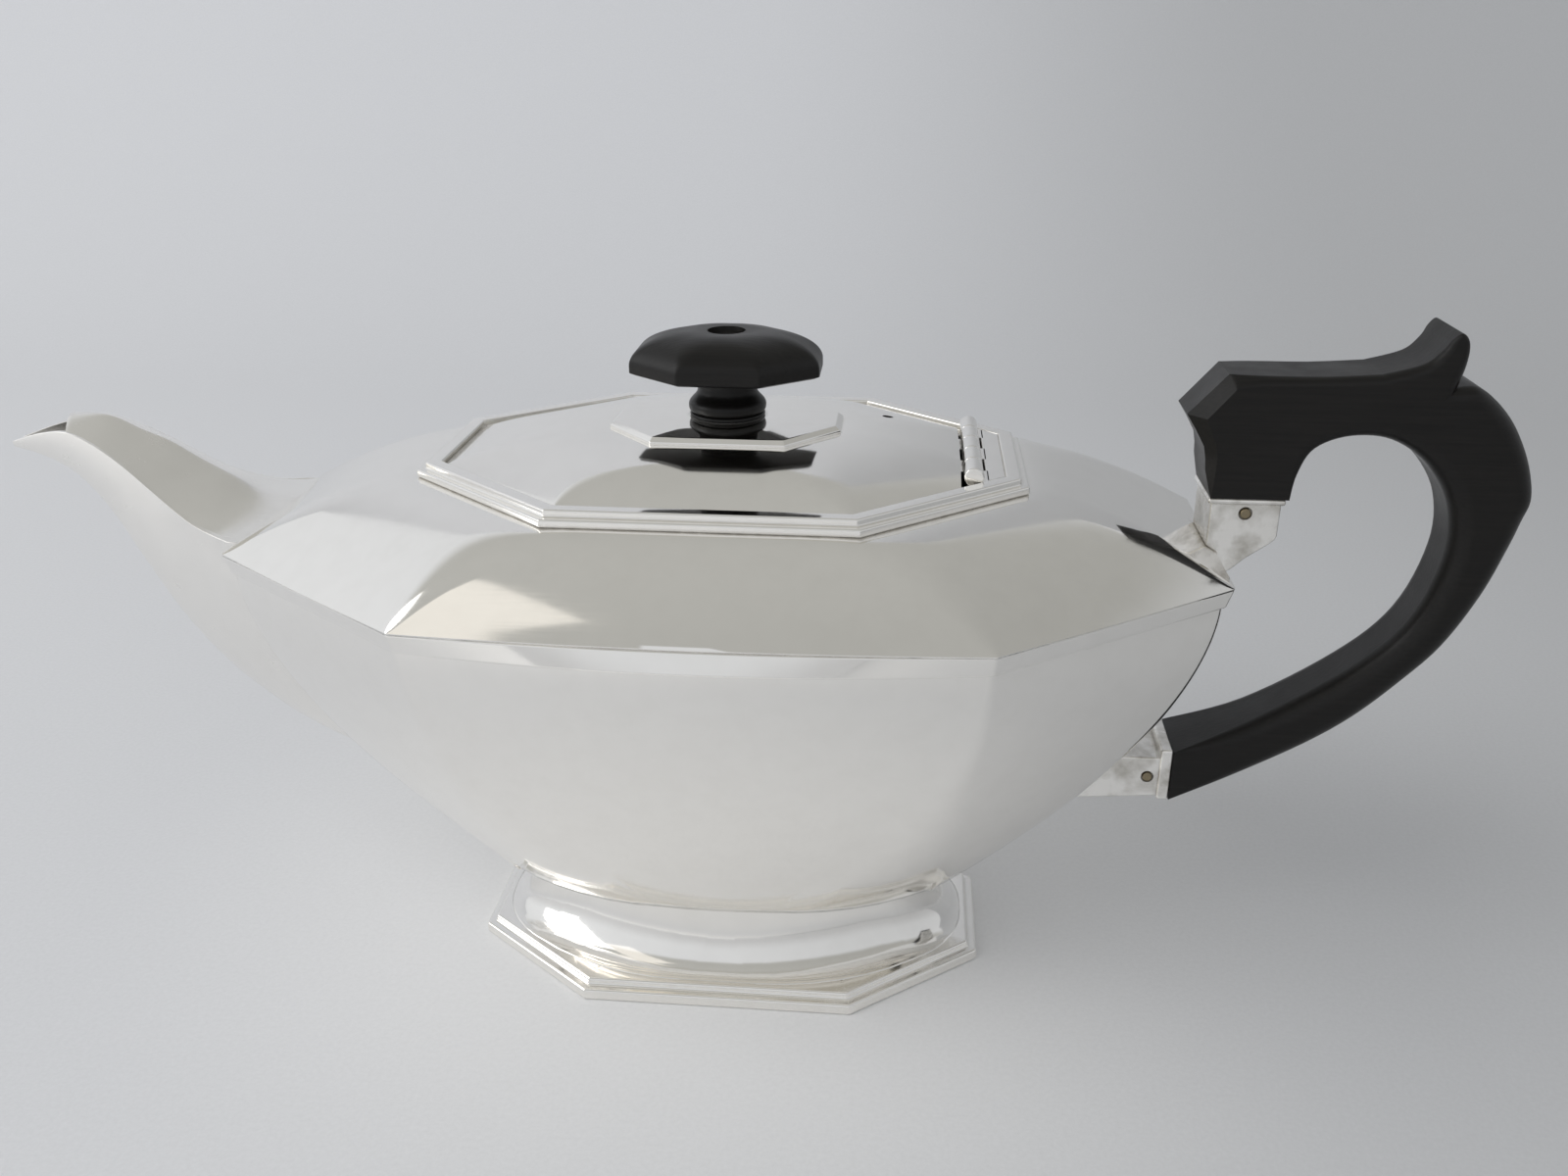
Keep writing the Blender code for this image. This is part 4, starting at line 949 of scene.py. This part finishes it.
seat_share = -UPPER_SEAT_OUT / (RIM[0] - FRAME[0])
upper_view = at_rim([(UPPER_SEAT_OUT, UPPER_TOP), (UPPER_UNDERSIDE[0][0], UPPER_TOP)])
upper_view += at_rim(smooth_run(UPPER_UNDERSIDE, UNDERSIDE_STEPS))
upper_view += [(RIM[0], RIM_Z), (RIM[0] + UPPER_SEAT_OUT, shoulder_height(seat_share))]
upper_box = eased(slab(upper_view, SOCKET_HALF), SOCKET_EDGE, FOLD_ANGLE)
upper_bead = block([RIM[0] + out for out in UPPER_BEAD_OUT], (-HANDLE_HALF, HANDLE_HALF),
                   (RIM_Z + UPPER_TOP - UPPER_BEAD, RIM_Z + UPPER_TOP))
upper_cup = piece_from(
    "upper_cup", gathered(upper_box, eased(upper_bead, BEAD_EDGE, SQUARE_ANGLE)), soldered_silver)

lower_x = RIM[0] + LOWER_FACE
lower_view = [(lower_x, RIM_Z + LOWER_DOWN), (lower_x, RIM_Z + LOWER_UP)]
for step in range(SEAT_STEPS + 1):
    z = RIM_Z + LOWER_UP + (LOWER_TOE - LOWER_UP) * step / SEAT_STEPS
    lower_view.append((wall_end(z), z))
lower_box = eased(slab(lower_view, SOCKET_HALF), SOCKET_EDGE, FOLD_ANGLE)
lower_bead = block((lower_x - LOWER_BEAD, lower_x), (-HANDLE_HALF, HANDLE_HALF),
                   [RIM_Z + up for up in LOWER_BEAD_SPAN])
lower_cup = piece_from(
    "lower_cup", gathered(lower_box, eased(lower_bead, BEAD_EDGE, SQUARE_ANGLE)), soldered_silver)

upper_spot = (RIM[0] + UPPER_PIN[0], RIM_Z + UPPER_PIN[1])
lower_spot = (lower_x - LOWER_PIN_FROM_FACE, RIM_Z + (LOWER_UP + LOWER_DOWN) / 2)
for cup, (x, z), name, node in ((upper_cup, upper_spot, "upper_rivet", "upper"),
                                (lower_cup, lower_spot, "lower_rivet", "lower")):
    reach = SOCKET_HALF + PIN_PROUD
    holes = [cylinder(PIN_HOLE, (x, side * (SOCKET_HALF - PIN_SINK), z), (x, side * 2 * reach, z))
             for side in (-1, 1)]
    pierced(cup, gathered(*holes), overlapping=True)
    pin = cylinder(PIN_RADIUS, (x, -reach, z), (x, reach, z))
    rivet = piece_from(name, eased(pin, PIN_PROUD, SQUARE_ANGLE), pin_brass)
    for piece, replaced in ((cup, node + "_socket"), (rivet, node + "_pin")):
        polished(piece)
        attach(piece, "pot")
        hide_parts(replaced)

# Table and backdrop: one sweep of matt pale paper, flat under the pot and curved up behind it. Its
# colour carries painted light: paler at the front left, painted shade darkening it to the right, and a
# painted pool of light round the pot.

SWEEP_HALF_WIDTH = 1.2
SWEEP_FRONT = -1.4
SWEEP_BACK = 0.9
SWEEP_RADIUS = 0.5
SWEEP_TOP = 1.02
SWEEP_STEPS = 16
# Painted light and shade: the paper is palest at the front, pale at the back left and darker to the
# right, standing in for the lamps' falloff.
PAPER_LIT_FRONT = "#F2F2F3"
PAPER_PALE = "#E0E1E4"
PAPER_PAINTED_SHADE = "#C6C7C9"
PAPER_LIGHT_FADE = ((-0.30, -0.04), (-0.10, 0.30))
# Painted light: a paler pool on the paper round the pot, which thins the pot's own shadow on the table.
PAPER_LIGHT_POOL = "#F1F1F1"
PAPER_POOL_SPOT = (0.0, 0.025, 0.0)
PAPER_POOL_FADE = (0.03, 0.15)
PAPER_FIBRE_MM = 0.9

paper = bpy.data.materials.new("matt_paper")
paper.use_nodes = True
paper_tree = paper.node_tree
paper_shader = paper_tree.nodes["Principled BSDF"]
paper_shader.inputs["Roughness"].default_value = 0.9
paper_shader.inputs["Specular IOR Level"].default_value = 0.1
place = add(paper_tree, "ShaderNodeTexCoord", {}).outputs["Object"]
side = add(paper_tree, "ShaderNodeSeparateXYZ", {"Vector": place})
# These fades across the paper are painted light and shade, not a tone of the paper itself.
backward, rightward = (
    add(paper_tree, "ShaderNodeMapRange",
        {"Value": side.outputs[axis], "From Min": near, "From Max": far}, interpolation_type="SMOOTHSTEP")
    for axis, (near, far) in zip("YX", PAPER_LIGHT_FADE))
fibre = add(paper_tree, "ShaderNodeTexNoise", {
    "Vector": place, "Scale": 1 / (PAPER_FIBRE_MM * MM), "Detail": 4.0, "Roughness": 0.7})
pale = add(paper_tree, "ShaderNodeMix", {
    "Factor": backward.outputs["Result"], 6: linear(PAPER_LIT_FRONT), 7: linear(PAPER_PALE)},
    data_type="RGBA")
painted_light_grade = add(paper_tree, "ShaderNodeMix", {
    "Factor": rightward.outputs["Result"], 6: pale.outputs[2], 7: linear(PAPER_PAINTED_SHADE)}, data_type="RGBA")
# Painted light: the paper pales towards the pot, a pool of light that thins its shadow.
distance = add(paper_tree, "ShaderNodeVectorMath", {0: place, 1: PAPER_POOL_SPOT}, operation="DISTANCE")
outward = add(paper_tree, "ShaderNodeMapRange", {
    "Value": distance.outputs["Value"], "From Min": PAPER_POOL_FADE[0], "From Max": PAPER_POOL_FADE[1]},
    interpolation_type="SMOOTHSTEP")
painted_light_with_pool = add(paper_tree, "ShaderNodeMix", {
    "Factor": outward.outputs["Result"], 6: linear(PAPER_LIGHT_POOL), 7: painted_light_grade.outputs[2]}, data_type="RGBA")
flecked = add(paper_tree, "ShaderNodeMapRange", {
    "Value": fibre.outputs["Fac"], "From Min": 0.3, "From Max": 0.7, "To Min": 0.97, "To Max": 1.03})
surface = add(paper_tree, "ShaderNodeVectorMath", {
    0: painted_light_with_pool.outputs[2], "Scale": flecked.outputs["Result"]}, operation="SCALE")
paper_tree.links.new(surface.outputs["Vector"], paper_shader.inputs["Base Color"])
sweep = bmesh.new()
run = [(SWEEP_FRONT, 0.0), (SWEEP_BACK - SWEEP_RADIUS, 0.0)]
for step in range(1, SWEEP_STEPS + 1):
    turn = math.pi / 2 * step / SWEEP_STEPS
    run.append((SWEEP_BACK - SWEEP_RADIUS * (1 - math.sin(turn)), SWEEP_RADIUS * (1 - math.cos(turn))))
run.append((SWEEP_BACK, SWEEP_TOP))
corners = [sweep.verts.new((-SWEEP_HALF_WIDTH, y, z)) for y, z in run]
line = [sweep.edges.new(pair) for pair in zip(corners, corners[1:])]
grown = bmesh.ops.extrude_edge_only(sweep, edges=line)["geom"]
bmesh.ops.translate(sweep, vec=(2 * SWEEP_HALF_WIDTH, 0, 0),
                    verts=[part for part in grown if isinstance(part, bmesh.types.BMVert)])
bmesh.ops.recalc_face_normals(sweep, faces=sweep.faces)
backdrop_mesh = bpy.data.meshes.new("paper_sweep")
sweep.to_mesh(backdrop_mesh)
sweep.free()
backdrop_mesh.materials.append(paper)
backdrop_mesh.shade_smooth()
backdrop = bpy.data.objects.new("paper_sweep", backdrop_mesh)
bpy.context.scene.collection.objects.link(backdrop)

# Studio light: a pale room, brighter on the spout's side, whose walls are lightest at window height
# and greyer near the floor and above. A window at the left, a smaller one above it and a broad soft
# lamp shade the pot and the table.

# Each tone of the room is given at the sine of its angle above the horizon.
ROOM_TONES = ((0.0, "#C0C1C3"), (0.30, "#D4D6D9"), (0.62, "#D4D6D9"), (0.72, "#AEAEAB"),
              (1.0, "#B2B2AF"))
ROOM_SIDES = (1.18, 0.8)
SKYLIGHT_COLOUR = "#FFF8EE"

world = bpy.data.worlds.new("studio")
world.use_nodes = True
bpy.context.scene.world = world
room = world.node_tree
towards = add(room, "ShaderNodeSeparateXYZ", {
    "Vector": add(room, "ShaderNodeTexCoord", {}).outputs["Generated"]})
tone = add(room, "ShaderNodeValToRGB", {"Fac": towards.outputs["Z"]})
tone.color_ramp.interpolation = "EASE"
while len(tone.color_ramp.elements) < len(ROOM_TONES):
    tone.color_ramp.elements.new(1.0)
for stop, (height, colour) in zip(tone.color_ramp.elements, ROOM_TONES):
    stop.position = height
    stop.color = linear(colour)
sides = add(room, "ShaderNodeMapRange", {
    "Value": towards.outputs["X"], "From Min": -1.0, "From Max": 1.0,
    "To Min": ROOM_SIDES[0], "To Max": ROOM_SIDES[1]})
room.links.new(tone.outputs["Color"], room.nodes["Background"].inputs["Color"])
room.links.new(sides.outputs["Result"], room.nodes["Background"].inputs["Strength"])


def soft_lamp(name, place, aim, size, power, mirrored, roll=0.0, colour="#FFFFFF"):
    """A rectangular area lamp rolled about its aim, which the silver mirrors or not."""
    light = bpy.data.lights.new(name, "AREA")
    light.shape = "RECTANGLE"
    light.size, light.size_y = size
    light.energy = power
    light.color = linear(colour)[:3]
    lamp = bpy.data.objects.new(name, light)
    facing = (Vector(aim) - Vector(place)).to_track_quat("-Z", "Y").to_matrix()
    lamp.matrix_world = Matrix.Translation(place) @ (facing @ Matrix.Rotation(roll, 3, "Z")).to_4x4()
    lamp.visible_glossy = mirrored
    lamp.visible_camera = False
    bpy.context.scene.collection.objects.link(lamp)


soft_lamp("window", place=(-1.15, -0.24, 0.72), aim=(0, -0.1, 0.08), size=(0.65, 0.9), power=2.9,
          mirrored=True)
soft_lamp("skylight", place=(-0.62, -0.58, 0.97), aim=(-0.04, -0.05, 0.09), size=(0.36, 0.54),
          power=0.25, mirrored=True, roll=math.radians(-24), colour=SKYLIGHT_COLOUR)
soft_lamp("broad", place=(-0.9, -0.7, 1.3), aim=(0, 0.1, 0), size=(1.2, 1.2), power=7.0, mirrored=False)

# Camera: held close in front of the pot, a little to its right, and looking down at it through a
# fairly wide lens.

CAMERA_LENS = 31.5
CAMERA_SENSOR = 36.0
CAMERA_SPOT = (0.0297, -0.2354, 0.1728)
CAMERA_TILT = 67.07
CAMERA_TURN = 5.16
CAMERA_NEAREST = 0.01

camera = bpy.data.objects.new("camera", bpy.data.cameras.new("camera"))
camera.data.lens = CAMERA_LENS
camera.data.sensor_width = CAMERA_SENSOR
camera.data.clip_start = CAMERA_NEAREST
camera.location = CAMERA_SPOT
camera.rotation_euler = (math.radians(CAMERA_TILT), 0, math.radians(CAMERA_TURN))
bpy.context.scene.collection.objects.link(camera)
bpy.context.scene.camera = camera
bpy.context.scene.view_settings.view_transform = "Standard"
